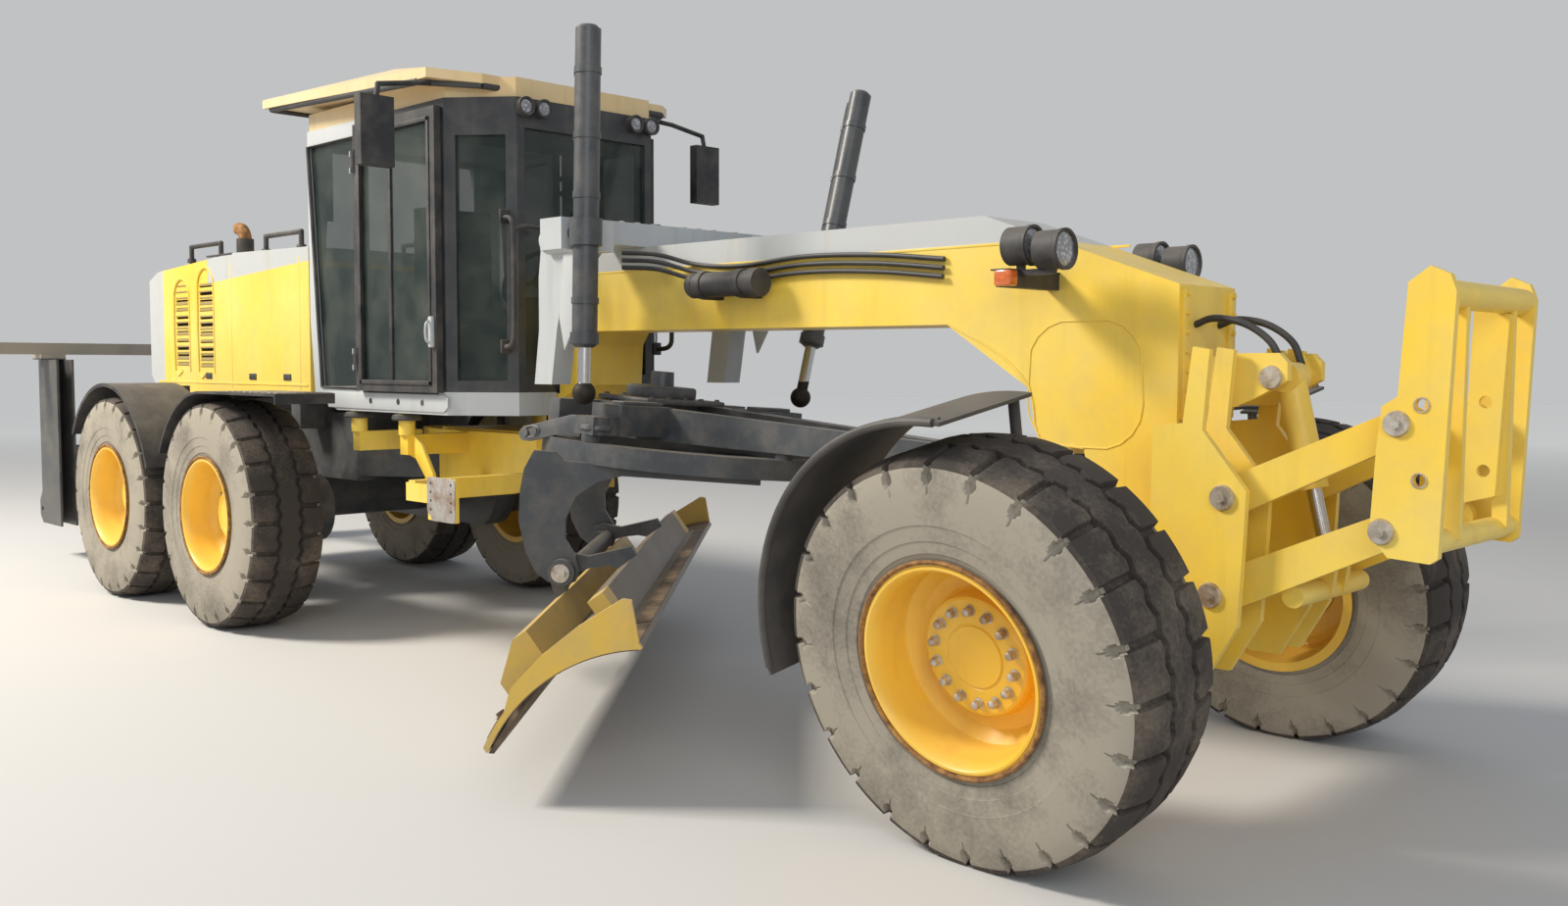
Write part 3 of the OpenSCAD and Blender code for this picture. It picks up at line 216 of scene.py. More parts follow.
def piece(name, mesh, finishes, body, slot, *nodes, place=None, crease=32):
    """A mesh drawn from the datum becomes an object that rides on a body."""
    bmesh.ops.remove_doubles(mesh, verts=mesh.verts, dist=0.00003)
    bmesh.ops.recalc_face_normals(mesh, faces=mesh.faces)
    for edge in mesh.edges:
        if len(edge.link_faces) == 2 and edge.calc_face_angle() > radians(crease):
            edge.smooth = False
    for face in mesh.faces:
        face.smooth = True
    mesh.transform(Matrix.Translation(datum) @ (place or Matrix()))
    made = bpy.data.objects.new(name, bpy.data.meshes.new(name))
    mesh.to_mesh(made.data)
    mesh.free()
    for material in finishes if isinstance(finishes, list) else [finishes]:
        made.data.materials.append(material)
    bpy.context.collection.objects.link(made)
    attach(made, body)
    if nodes:
        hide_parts(*nodes)
    return made


def dress(material, *nodes):
    for name in nodes:
        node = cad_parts[name]
        node.data.materials.clear()
        node.data.materials.append(material)


def lathe(mesh, section, steps, place=None):
    """Turns a section of (radius, along) points about the Y axis."""
    before = set(mesh.verts)
    chain = [mesh.verts.new((r, y, 0)) for r, y in section]
    edges = [mesh.edges.new(pair) for pair in zip(chain, chain[1:])]
    bmesh.ops.spin(mesh, geom=chain + edges, cent=(0, 0, 0), axis=(0, -1, 0), angle=2 * pi,
                   steps=steps, use_merge=True)
    if place:
        bmesh.ops.transform(mesh, matrix=place, verts=[v for v in mesh.verts if v not in before])


def wheel_place(name):
    """Takes a right-hand wheel about the origin to its place."""
    low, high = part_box("tyre_" + name)
    place = Matrix.Translation((Vector(low) + Vector(high)) / 2 - datum)
    if name.startswith("front"):
        place = place @ Matrix.Rotation(FRONT_LEAN, 4, "X")
    return place @ Matrix.Diagonal((1, -1 if name.endswith("left") else 1, 1, 1))


def notch_depth(turn, across, down):
    """Depth of the tread; turn counts pitches, and down is the way over the shoulder."""
    off = abs((turn + (0 if across > 0 else 0.5)) % 1 - 0.5) * PITCH
    wide = NECK_HALF
    if down > NECK_END:
        wide = math.sqrt(max(BULB_R ** 2 - (down - BULB_DOWN) ** 2, 0))
    groove = GROOVE_DEEP if abs(abs(across) - GROOVE_AT) < GROOVE_HALF else 0
    if abs(across) < HALF_BAND or off > wide + RAMP:
        return groove
    return max(groove, NOTCH_DEEP * min((wide + RAMP - off) / (2 * RAMP), 1))


# Where the rings stand in one pitch, and the rows across half of the tread
STEPS = [0, 0.03, 0.05, 0.085, 0.1, 0.13, 0.18, 0.25, 0.32, 0.37, 0.4, 0.415, 0.45, 0.47]
STEPS += [0.5 + step for step in STEPS]
ROWS = [0.02, 0.0425, 0.0475, 0.056, 0.0645, 0.0695, 0.10, 0.15, 0.18]
wall = [(0.319, 0.185), (0.350, 0.1975), (0.3605, 0.1985), (0.3625, 0.2030), (0.40, 0.2075),
        (0.4015, 0.2100), (0.408, 0.2105), (0.45, 0.2150), (0.4515, 0.2175), (0.458, 0.2180),
        (0.50, 0.2195), (0.545, 0.2193), (0.572, 0.2172), (0.583, 0.2155), (0.592, 0.2138),
        (0.602, 0.2115), (0.612, 0.2092), (0.622, 0.2060), (0.631, 0.2025), (0.638, 0.2000)]
fall = (TYRE_R - SHOULDER_R) / (HALF_TREAD - HALF_FLAT)
crown = [(TYRE_R - fall * max(y - HALF_FLAT, 0), y) for y in ROWS]
section = ([(r, -y) for r, y in wall] + [(r, -y) for r, y in reversed(crown)] + [(TYRE_R, 0)]
           + crown + [(r, y) for r, y in reversed(wall)])
rings = PITCHES * len(STEPS)
mesh = bmesh.new()
lathe(mesh, section, rings)
normals = {}
for k, (r, y) in enumerate(section):
    a, b = section[max(k - 1, 0)], section[min(k + 1, len(section) - 1)]
    along = Vector((b[0] - a[0], b[1] - a[1])).normalized()
    normals[round(r, 4), round(y, 4)] = along.y, -along.x
for vert in mesh.verts:
    r, y = math.hypot(vert.co.x, vert.co.z), vert.co.y
    count = round(math.atan2(vert.co.z, vert.co.x) / (2 * pi) * rings) % rings
    turn = count // len(STEPS) + STEPS[count % len(STEPS)]
    out = normals[round(r, 4), round(y, 4)]
    if r > NOTCHED_FROM:
        depth = notch_depth(turn, y, SHOULDER_R - r if abs(y) >= HALF_TREAD - 0.0001 else 0)
        if abs(y) < HALF_TREAD - 0.01:
            zigzag = ZIGZAG * (abs((turn + (0.5 if y > 0 else 0)) % 1 - 0.5) * 4 - 1)
            # The zigzag fades towards the middle and towards the shoulder
            share = min(abs(y) / 0.0425, 1, max((0.15 - abs(y)) / 0.08, 0))
            y += math.copysign(zigzag * share, y)
        r, y = r - out[0] * depth, y - out[1] * depth
    angle = 2 * pi * turn / PITCHES
    vert.co = r * cos(angle), y, r * sin(angle)
for face in mesh.faces:
    middle = face.calc_center_median()
    if math.hypot(middle.x, middle.z) > TREAD_FROM:
        face.material_index = 1
tyre = bpy.data.meshes.new("tyre")
mesh.to_mesh(tyre)
mesh.free()


def rubber_finish(name, dark, dusty, share):
    material, tree, shader, place = finish(name, Roughness=0.88)
    dust = noise(tree, place, 3.2, 6, 0.6)
    grain = noise(tree, place, 70, 4)
    film = (dust * 0.75 + grain * 0.25).part(0.5 - share, 0.72 - share)
    feed(shader, Base_Color=mix(tree, film, dark, dusty),
         Normal=bump(tree, grain + dust, 0.3, 0.002))
    return material


sidewall = rubber_finish("sidewall_rubber", (0.165, 0.147, 0.118), (0.35, 0.31, 0.245), 0.18)
tread = rubber_finish("tread_rubber", (0.045, 0.036, 0.030), (0.17, 0.135, 0.10), 0.02)
WHEELS = ["front_left", "front_right", "middle_left", "middle_right", "rear_left", "rear_right"]
for wheel in WHEELS:
    mesh = bmesh.new()
    mesh.from_mesh(tyre)
    mesh.transform(wheel_place(wheel))
    piece("tyre_cover_" + wheel, mesh, [sidewall, tread], "wheel_" + wheel, "tyre_rubber",
          "tyre_" + wheel, crease=42)

# Enamel on the plate work: sprayed, bleached by the sun, dusty where it lies
# level, streaked down its sides and chipped. The neck's and the hood's tops
# are light grey and the blade is dark with earth outside its painted rails.


def enamel(name, colour, faded, roughness=0.42, dust=0.5, chips=0.5, second=None, split=None):
    """split makes a mask of a place's x, y and z: where it is 1, second shows."""
    material, tree, shader, place = finish(name, Coat_Weight=0.12, Coat_Roughness=0.25)
    cloud = noise(tree, place, 1.3, 3)
    grime = noise(tree, place, 7, 6, 0.65)
    fine = noise(tree, place, 55, 5, 0.7)
    streak = noise(tree, place, 9, 4, 0.6, (1, 1, 0.08))
    paint = mix(tree, cloud.part(0.35, 0.7), colour, faded)
    if split:
        x, y, z = [axis(tree, place, number) for number in range(3)]
        paint = mix(tree, split(x - datum.x, y - datum.y, z), paint, second)
    paint = mix(tree, streak.part(0.55, 0.85) * 0.3, paint, tuple(c * 0.4 for c in colour))
    dusty = (grime.part(0.42, 0.72) * 0.35 + level_share(tree, 0.3) * 0.4) * dust
    paint = mix(tree, dusty.math("MINIMUM", 0.85), paint, (0.40, 0.33, 0.25))
    chip = (fine * 0.6 + grime * 0.4).part(0.66, 0.69) * chips
    paint = mix(tree, chip, paint, (0.11, 0.06, 0.035))
    feed(shader, Base_Color=paint, Roughness=(grime * 0.25 + roughness - 0.1 + dusty * 0.3),
         Normal=bump(tree, fine * 0.3 + grime * 0.7 - chip * 0.6, 0.25, 0.0015))
    return material


def over(wire, limit):
    return wire.math("GREATER_THAN", limit)


YELLOW, SUNNED = (0.90, 0.585, 0.045), (0.88, 0.66, 0.14)
GREY = (0.50, 0.51, 0.50)
CAB_GREY, CAB_SUNNED = (0.44, 0.46, 0.47), (0.56, 0.57, 0.56)
yellow = enamel("yellow_enamel", YELLOW, SUNNED)
dress(yellow, "front_axle", "lift_base", "yoke_left", "yoke_right", "knuckle_left", "ball_ears",
      "knuckle_right", "lean_bar", "upper_arm", "lower_arm", "coupler", "tool_barrel")
dress(enamel("neck_enamel", YELLOW, SUNNED, second=GREY,
             split=lambda x, y, z: over(z, 1.995) * over(x, -3.30)), "main_frame")
dress(enamel("hood_enamel", YELLOW, SUNNED, second=GREY,
             split=lambda x, y, z: (over(z - x * 0.055, 2.467) * over(x, -7.0)).math(
                 "MAXIMUM", over(x * -1, 7.78))), "hood")
slate = enamel("slate_enamel", (0.040, 0.045, 0.052), (0.075, 0.080, 0.085), dust=0.55)
dress(slate, "rear_frame", "tandem_cases", "draft_ball", "drawbar", "circle", "blade_carrier",
      "lift_barrel_left", "lift_barrel_right")
dress(enamel("engine_enamel", (0.10, 0.105, 0.11), (0.15, 0.15, 0.15), dust=0.8), "engine_block")
silver = enamel("silver_enamel", CAB_GREY, CAB_SUNNED, dust=0.3, chips=0.3)
dress(silver, "saddle")
dress(enamel("cab_enamel", CAB_GREY, CAB_SUNNED, dust=0.3, chips=0.3,
             second=(0.03, 0.032, 0.035),
             split=lambda x, y, z: over(z, 1.39) * over(x, -4.6)), "cab_shell")
tan = enamel("tan_enamel", (0.74, 0.52, 0.24), (0.76, 0.60, 0.36), dust=0.35, chips=0.2)
dress(tan, "cab_roof")
dress(enamel("mast_enamel", (0.05, 0.052, 0.055), (0.09, 0.088, 0.082), dust=0.5,
             second=(0.34, 0.30, 0.24), split=lambda x, y, z: over(z, 1.57)), "rear_mast")

# Rims: pressed steel dishes in orange-yellow enamel, with a rusty flange, a
# drum with a round cap and a ring of zinc nuts. The rear drum is narrower.
rim_paint = enamel("rim_enamel", (0.88, 0.50, 0.03), (0.90, 0.60, 0.10), dust=0.25, chips=0.6)
rust, tree, shader, place = finish("flange_rust", Roughness=0.75)
scale = noise(tree, place, 30, 6, 0.65)
feed(shader, Normal=bump(tree, scale, 0.4, 0.001),
     Base_Color=mix(tree, scale.part(0.35, 0.65), (0.12, 0.045, 0.018), (0.42, 0.21, 0.05)))
zinc, tree, shader, place = finish("nut_zinc", Metallic=0.7)
stain = noise(tree, place, 25, 5, 0.6)
feed(shader, Base_Color=mix(tree, stain.part(0.4, 0.7), (0.62, 0.58, 0.52), (0.30, 0.22, 0.14)),
     Roughness=stain * 0.3 + 0.3)
flange = [(0.290, -0.045), (0.296, -0.060), (0.296, -0.150), (0.300, -0.185), (0.306, -0.198),
          (0.310, -0.207), (0.3145, -0.2115), (0.3225, -0.2115), (0.3245, -0.2060),
          (0.3285, -0.2060), (0.3305, -0.2130), (0.338, -0.2170), (0.3440, -0.2140),
          (0.3440, -0.2045), (0.318, -0.199), (0.318, 0.199), (0.344, 0.204), (0.344, 0.2145),
          (0.308, 0.213), (0.300, 0.19), (0.300, 0.06), (0.288, 0.03)]
cap = [(0.0001, -0.076), (0.060, -0.0755), (0.098, -0.074), (0.1005, -0.069), (0.1045, -0.069)]
# Outer face and inner face of the dish; then where the nuts stand
FRONT = ([(0.107, -0.0715), (0.180, -0.0715), (0.189, -0.067), (0.193, -0.055), (0.197, -0.018),
          (0.207, -0.006), (0.226, -0.004), (0.252, -0.012), (0.272, -0.030)],
         [(0.262, 0.012), (0.226, 0.012), (0.200, 0.010), (0.186, -0.010), (0.180, -0.045),
          (0.0001, -0.0465)], 0.149, -0.0705)
REAR = ([(0.107, -0.073), (0.133, -0.072), (0.140, -0.066), (0.141, -0.030), (0.147, -0.025),
         (0.206, -0.025), (0.224, -0.022), (0.242, -0.014), (0.266, -0.020)],
        [(0.262, 0.014), (0.22, 0.004), (0.1365, 0.004), (0.1365, -0.0465), (0.0001, -0.0465)],
        0.166, -0.0245)
NUTS, RUST_FROM = 14, 0.3265
nut = [(0.0185, 0), (0.0185, -0.004), (0.0145, -0.005), (0.0145, -0.022), (0.0125, -0.029),
       (0.007, -0.0325), (0.0001, -0.0335)]
for wheel in WHEELS:
    face, back, reach, nut_face = FRONT if wheel.startswith("front") else REAR
    mesh = bmesh.new()
    lathe(mesh, cap + face + flange + back, 96)
    for part in mesh.faces:
        middle = part.calc_center_median()
        if math.hypot(middle.x, middle.z) > RUST_FROM:
            part.material_index = 1
    piece("rim_disc_" + wheel, mesh, [rim_paint, rust], "wheel_" + wheel, "rim_paint",
          "rim_" + wheel, place=wheel_place(wheel), crease=24)
    mesh = bmesh.new()
    for k in range(NUTS):
        turn = 2 * pi * (k + 0.5) / NUTS
        lathe(mesh, nut, 12,
              Matrix.Translation((reach * cos(turn), nut_face, reach * sin(turn))))
    piece("wheel_nuts_" + wheel, mesh, zinc, "wheel_" + wheel, "bare_steel",
          place=wheel_place(wheel))

# Black mouldings, grey with dust: fenders, doors, lamps, rails, accumulator,
# mirrors and the cab's console. The seat is cloth.


def moulding(name, colour, roughness=0.62, dust=1.0):
    material, tree, shader, place = finish(name)
    grain = noise(tree, place, 350, 2)
    grime = noise(tree, place, 5, 6, 0.65)
    dusty = (grime.part(0.4, 0.75) * 0.4 + level_share(tree, 0.2) * 0.35) * dust
    feed(shader, Base_Color=mix(tree, dusty, colour, (0.23, 0.20, 0.165)),
         Roughness=grime * 0.2 + roughness - 0.1, Normal=bump(tree, grain + grime, 0.2, 0.001))
    return material


black = moulding("black_moulding", (0.022, 0.022, 0.025))
dress(black, "rear_fenders", "mirrors", "cab_console", "neck_lamps", "accumulator", "hood_rails",
      "door_left", "door_right")
fender_black = moulding("fender_black", (0.055, 0.050, 0.047), dust=0.8)
dress(fender_black, "front_fender_left", "front_fender_right")
cloth = moulding("seat_cloth", (0.05, 0.048, 0.045), 0.9, 0.3)
dress(cloth, "cab_seat")

# Hard chrome on the cylinders' rods, dulled by grit. The lift rods end in
# dark ball feet, which lie between FEET_LOW and FEET_HIGH above the ground.
FEET_LOW, FEET_HIGH = 1.25, 1.452
chrome, tree, shader, place = finish("rod_chrome", Metallic=1.0)
rub = noise(tree, place, 40, 5, 0.6, (1, 1, 0.05))
height = axis(tree, place, 2)
foot = over(height * -1, -FEET_HIGH) * over(height, FEET_LOW)
feed(shader, Base_Color=mix(tree, foot, mix(tree, rub, (0.62, 0.62, 0.64), (0.45, 0.44, 0.43)),
                            (0.05, 0.045, 0.04)), Roughness=rub * 0.25 + 0.12 + foot * 0.4)
dress(chrome, "lift_rod_left", "lift_rod_right", "tool_rod")

# Tinted safety glass of the cab and its doors: dark green, with a film of
# dust that hides a little more of the inside.
glass, tree, shader, place = finish("cab_glass", Roughness=0.04, IOR=1.45)
smear = noise(tree, place, 3, 5, 0.6)
feed(shader, Base_Color=mix(tree, smear.part(0.4, 0.8), (0.018, 0.032, 0.028), (0.10, 0.11, 0.09)),
     Alpha=smear * 0.25 + 0.50)
dress(glass, "cab_glass", "door_glass_left", "door_glass_right")

# Hood: framed arches with slats on both sides, seams, latches, black feet of
# the grab rails, louvres in the rear panel and the exhaust's bent end.
HOOD_Y, ARCH_HALF = 0.555, 0.135
SLATS, SLAT_PITCH, SLAT_TILT = 14, 0.043, radians(24)


def edges_of(verts):
    """The edges at these vertices, each one once and always in the same order."""
    return list(dict.fromkeys(edge for vert in verts for edge in vert.link_edges))


def soften(mesh, edges, soft, verts):
    """Rounds edges, and gives the new vertices with those of verts that are left."""
    made = bmesh.ops.bevel(mesh, geom=edges, offset=soft, segments=2, profile=0.5,
                           affect="EDGES", material=-1)
    return list(dict.fromkeys([v for face in made["faces"] for v in face.verts]
                              + [v for v in verts if v.is_valid]))


def block(mesh, low, high, soft=0.004, turn=None):
    """A box between two corners with its edges rounded."""
    low, high = Vector(low), Vector(high)
    made = bmesh.ops.create_cube(mesh, size=1)["verts"]
    bmesh.ops.scale(mesh, vec=high - low, verts=made)
    soft = min(soft, min(high - low) * 0.45)
    if soft > 0.0005:
        made = soften(mesh, edges_of(made), soft, made)
    place = Matrix.Translation((low + high) / 2) @ (turn or Matrix())
    bmesh.ops.transform(mesh, matrix=place, verts=made)


def plate(mesh, outline, y, thick, soft=0.003):
    """An outline of (x, z) points in the side view, thick across the machine."""
    ring = [mesh.verts.new((x, y - thick / 2, z)) for x, z in outline]
    face = mesh.faces.new(ring)
    grown = bmesh.ops.extrude_face_region(mesh, geom=[face])["geom"]
    moved = [part for part in grown if isinstance(part, bmesh.types.BMVert)]
    bmesh.ops.translate(mesh, vec=(0, thick, 0), verts=moved)
    if soft:
        verts = ring + moved
        rims = [edge for edge in edges_of(verts)
                if abs(edge.verts[0].co.y - edge.verts[1].co.y) < 0.0001]
        soften(mesh, rims, soft, verts)


def rod(mesh, start, end, radius, tip=None, sides=20):
    """A round bar between two points, or a cone where the tip's radius differs."""
    start, end = Vector(start), Vector(end)
    way = end - start
    place = Matrix.Translation((start + end) / 2) @ way.to_track_quat("Z", "Y").to_matrix().to_4x4()
    bmesh.ops.create_cone(mesh, cap_ends=True, segments=sides, radius1=radius,
                          radius2=radius if tip is None else tip, depth=way.length, matrix=place)


def tube(mesh, points, radius, sides=12, fine=6):
    """A round tube or hose that passes smoothly through the points."""
    points = [Vector(p) for p in points]
    ends = [points[0] * 2 - points[1]] + points + [points[-1] * 2 - points[-2]]
    path = []
    for a, b, c, d in zip(ends, ends[1:], ends[2:], ends[3:]):
        for k in range(fine):
            t = k / fine
            path.append(0.5 * (2 * b + (c - a) * t + (2 * a - 5 * b + 4 * c - d) * t * t
                               + (3 * b - a - 3 * c + d) * t ** 3))
    path.append(points[-1])
    turn = (path[1] - path[0]).to_track_quat("Z", "Y")
    before = None
    for k, spot in enumerate(path):
        way = (path[min(k + 1, len(path) - 1)] - path[max(k - 1, 0)]).normalized()
        turn = (turn @ Vector((0, 0, 1))).rotation_difference(way) @ turn
        ring = bmesh.ops.create_circle(mesh, segments=sides, radius=radius,
                                       cap_ends=k in (0, len(path) - 1),
                                       matrix=Matrix.Translation(spot) @ turn.to_matrix().to_4x4())
        edges = edges_of(ring["verts"])
        if before:
            bmesh.ops.bridge_loops(mesh, edges=before + edges)
        before = edges
    return path


def bolts(mesh, places, way, radius=0.014, high=0.011):
    """Hexagon heads on washers that stand up along a way."""
    for spot in places:
        spot, out = Vector(spot), Vector(way)
        rod(mesh, spot - out * 0.002, spot + out * 0.003, radius * 1.35)
        rod(mesh, spot, spot + out * high, radius, sides=6)


SIDES = (1, -1)
# The screens' slats are yellow darkened to about a third: painted shade, with dust on top.
screen = moulding("screen_shade_and_dust", (0.30, 0.21, 0.05), 0.7, 0.5)
mesh, bars = bmesh.new(), bmesh.new()
for side in SIDES:
    for x, foot, spring in ((-7.585, 1.48, 2.0), (-7.17, 1.47, 2.06)):
        middle = x + ARCH_HALF
        arch = [(middle + ARCH_HALF * cos(radians(a)), spring + ARCH_HALF * sin(radians(a)))
                for a in range(0, 181, 15)]
        rim = [(middle + ARCH_HALF, foot)] + arch + [(middle - ARCH_HALF, foot), (middle, foot)]
        tube(mesh, [(px, side * 0.5545, pz) for px, pz in rim], 0.009, 8, 2)
        for k in range(SLATS):
            z = foot + 0.04 + k * SLAT_PITCH
            block(bars, (middle - 0.11, side * 0.549 - 0.002, z),
                  (middle + 0.11, side * 0.549 + 0.002, z + 0.024), 0.001,
                  Matrix.Rotation(side * SLAT_TILT, 4, "X"))
    for x in (-5.62, -6.62):
        block(mesh, (x - 0.006, side * HOOD_Y - 0.002, 1.37),
              (x + 0.006, side * HOOD_Y + 0.003, 2.20))
    block(mesh, (-7.9, side * HOOD_Y - 0.003, 1.395), (-5.52, side * HOOD_Y + 0.003, 1.41), 0.001)
piece("hood_arch_frames", mesh, yellow, "rear_frame", "yellow_paint")
piece("hood_arch_slats", bars, screen, "rear_frame", "yellow_paint")
mesh = bmesh.new()
for side in SIDES:
    block(mesh, (-7.0, side * 0.548 - 0.012, 2.262), (-6.59, side * 0.548 + 0.012, 2.274))
    for x in (-5.8, -6.3, -7.0):
        block(mesh, (x - 0.05, side * 0.556 - 0.006, 1.43), (x + 0.05, side * 0.556 + 0.010, 1.47))
    for x in (-5.7, -6.2, -6.9, -7.4):
        rod(mesh, (x, side * 0.495, 2.262 if x > -6.59 else 2.25),
            (x, side * 0.495, 2.279), 0.032, 0.026)
for k in range(7):
    block(mesh, (-8.046, -0.42, 1.55 + k * 0.085), (-8.036, 0.42, 1.60 + k * 0.085), 0.002)
piece("hood_trim", mesh, black, "rear_frame", "black_plastic")
mesh = bmesh.new()
tube(mesh, [(x, -0.15, z) for x, z in ((-7.3, 2.39), (-7.3, 2.45), (-7.34, 2.50), (-7.40, 2.515))],
     0.045, 20, 4)
piece("exhaust_stack", mesh, rust, "rear_frame", "bare_steel")

# Gooseneck: weld seams, the leg's round-cornered cover and bolted front bar,
# lenses of its lamps, its orange turn lamps and the accumulator's clamps.
lens, tree, shader, place = finish("lamp_lens", Metallic=0.4, Coat_Weight=1.0)
facets = add(tree, "ShaderNodeTexVoronoi", {}, {"Vector": place, "Scale": 70.0})
feed(shader, Base_Color=mix(tree, facets.part(0.1, 0.6), (0.55, 0.56, 0.57), (0.22, 0.22, 0.23)),
     Roughness=facets * 0.25 + 0.12, Normal=bump(tree, facets, 0.4, 0.002))
amber, tree, shader, place = finish("amber_lens", Coat_Weight=0.8, Roughness=0.3)
flutes = noise(tree, place, 60, 2, 0.5, (1, 0.1, 1))
feed(shader, Base_Color=mix(tree, flutes.part(0.3, 0.7), (0.75, 0.16, 0.02), (0.48, 0.09, 0.012)),
     Normal=bump(tree, flutes, 0.5, 0.002))
NECK_Y = 0.2005
COVER_X, COVER_Z, STRAIGHT = -0.22, 1.47, 0.07
# Middle of each round lamp, then its radius and its depth
LAMPS = [(x, side * 0.44, z, 0.068, 0.09) for side in SIDES
         for x, z in ((-0.33, 1.955), (-0.20, 1.935))]
LAMPS += [(-3.399, y, 2.84, 0.044, 0.041) for y in (-0.41, -0.30, 0.30, 0.41)]
LAMPS += [(-5.461, side * 0.47, 2.9928, 0.055, 0.06) for side in SIDES]
mesh, rims, glassy, orange = bmesh.new(), bmesh.new(), bmesh.new(), bmesh.new()
for side in SIDES:
    y = side * NECK_Y
    block(mesh, (-3.2, y - 0.002, 1.989), (-0.28, y + 0.004, 1.999), 0.001)
    cover = [(COVER_X + 0.17 * cos(a), COVER_Z + 0.16 * sin(a)) for a in
             [radians(20 * k) for k in range(19)]]
    tube(mesh, [(x + (STRAIGHT if x > COVER_X else -STRAIGHT), y,
                 z + (STRAIGHT if z > COVER_Z else -STRAIGHT)) for x, z in cover], 0.0035, 6, 1)
    tube(mesh, [(-0.845, y, 1.70), (-0.60, y, 1.585), (-0.453, y, 1.455), (-0.405, y, 1.27),
                (-0.215, y, 1.24)], 0.005, 6, 3)
for x, y, z, r, deep in LAMPS:
    out = -1 if x < -5 else 1
    face = x + out * (deep / 2 + 0.001)
    aimed = Matrix.Translation((face, y, z)) @ Matrix.Rotation(out * radians(-90), 4, "Z")
    lathe(rims, [(r, 0.012), (r + 0.004, 0.006), (r + 0.004, -0.010), (r - 0.006, -0.010),
                 (r - 0.009, 0.0), (r - 0.012, 0.004)], 32, aimed @ Matrix.Diagonal((1, -1, 1, 1)))
    lathe(glassy, [(r - 0.009, 0.001), (r * 0.7, 0.0035), (r * 0.35, 0.0048), (0.0001, 0.005)], 32,
          aimed)
for side in SIDES:
    block(orange, (-0.375, side * 0.523 - 0.02, 1.812), (-0.300, side * 0.523 + 0.024, 1.868),
          0.008)
    block(rims, (-0.405, side * 0.36 - 0.16, 1.868), (-0.325, side * 0.36 + 0.16, 1.874), 0.002)
piece("neck_seams", mesh, yellow, "front_frame", "yellow_paint")
piece("lamp_rims", rims, black, "front_frame", "black_plastic")
piece("lamp_lenses", glassy, lens, "front_frame", "glass")
piece("turn_lamps", orange, amber, "front_frame", "black_plastic")
mesh, dark = bmesh.new(), bmesh.new()
for side in SIDES:
    y = side * 0.165
    block(mesh, (0.149, y - 0.022, 1.352), (0.163, y + 0.022, 1.80), 0.002)
    bolts(mesh, [(0.163, y, 1.39 + 0.066 * k) for k in range(7)], (1, 0, 0), 0.009, 0.009)
piece("leg_bars", mesh, yellow, "front_frame", "yellow_paint")
lathe(dark, [(0.0001, -0.03), (0.03, -0.028), (0.05, -0.015), (0.058, 0.0), (0.058, 0.03)], 28,
      Matrix.Translation((-2.222, -0.3, 1.895)) @ Matrix.Rotation(radians(-90), 4, "Z"))
for x in (-2.15, -1.9):
    lathe(dark, [(0.056, -0.022), (0.063, -0.020), (0.063, 0.020), (0.056, 0.022)], 28,
          Matrix.Translation((x, -0.3, 1.895)) @ Matrix.Rotation(radians(90), 4, "Z"))
piece("accumulator_clamps", dark, black, "front_frame", "black_plastic")

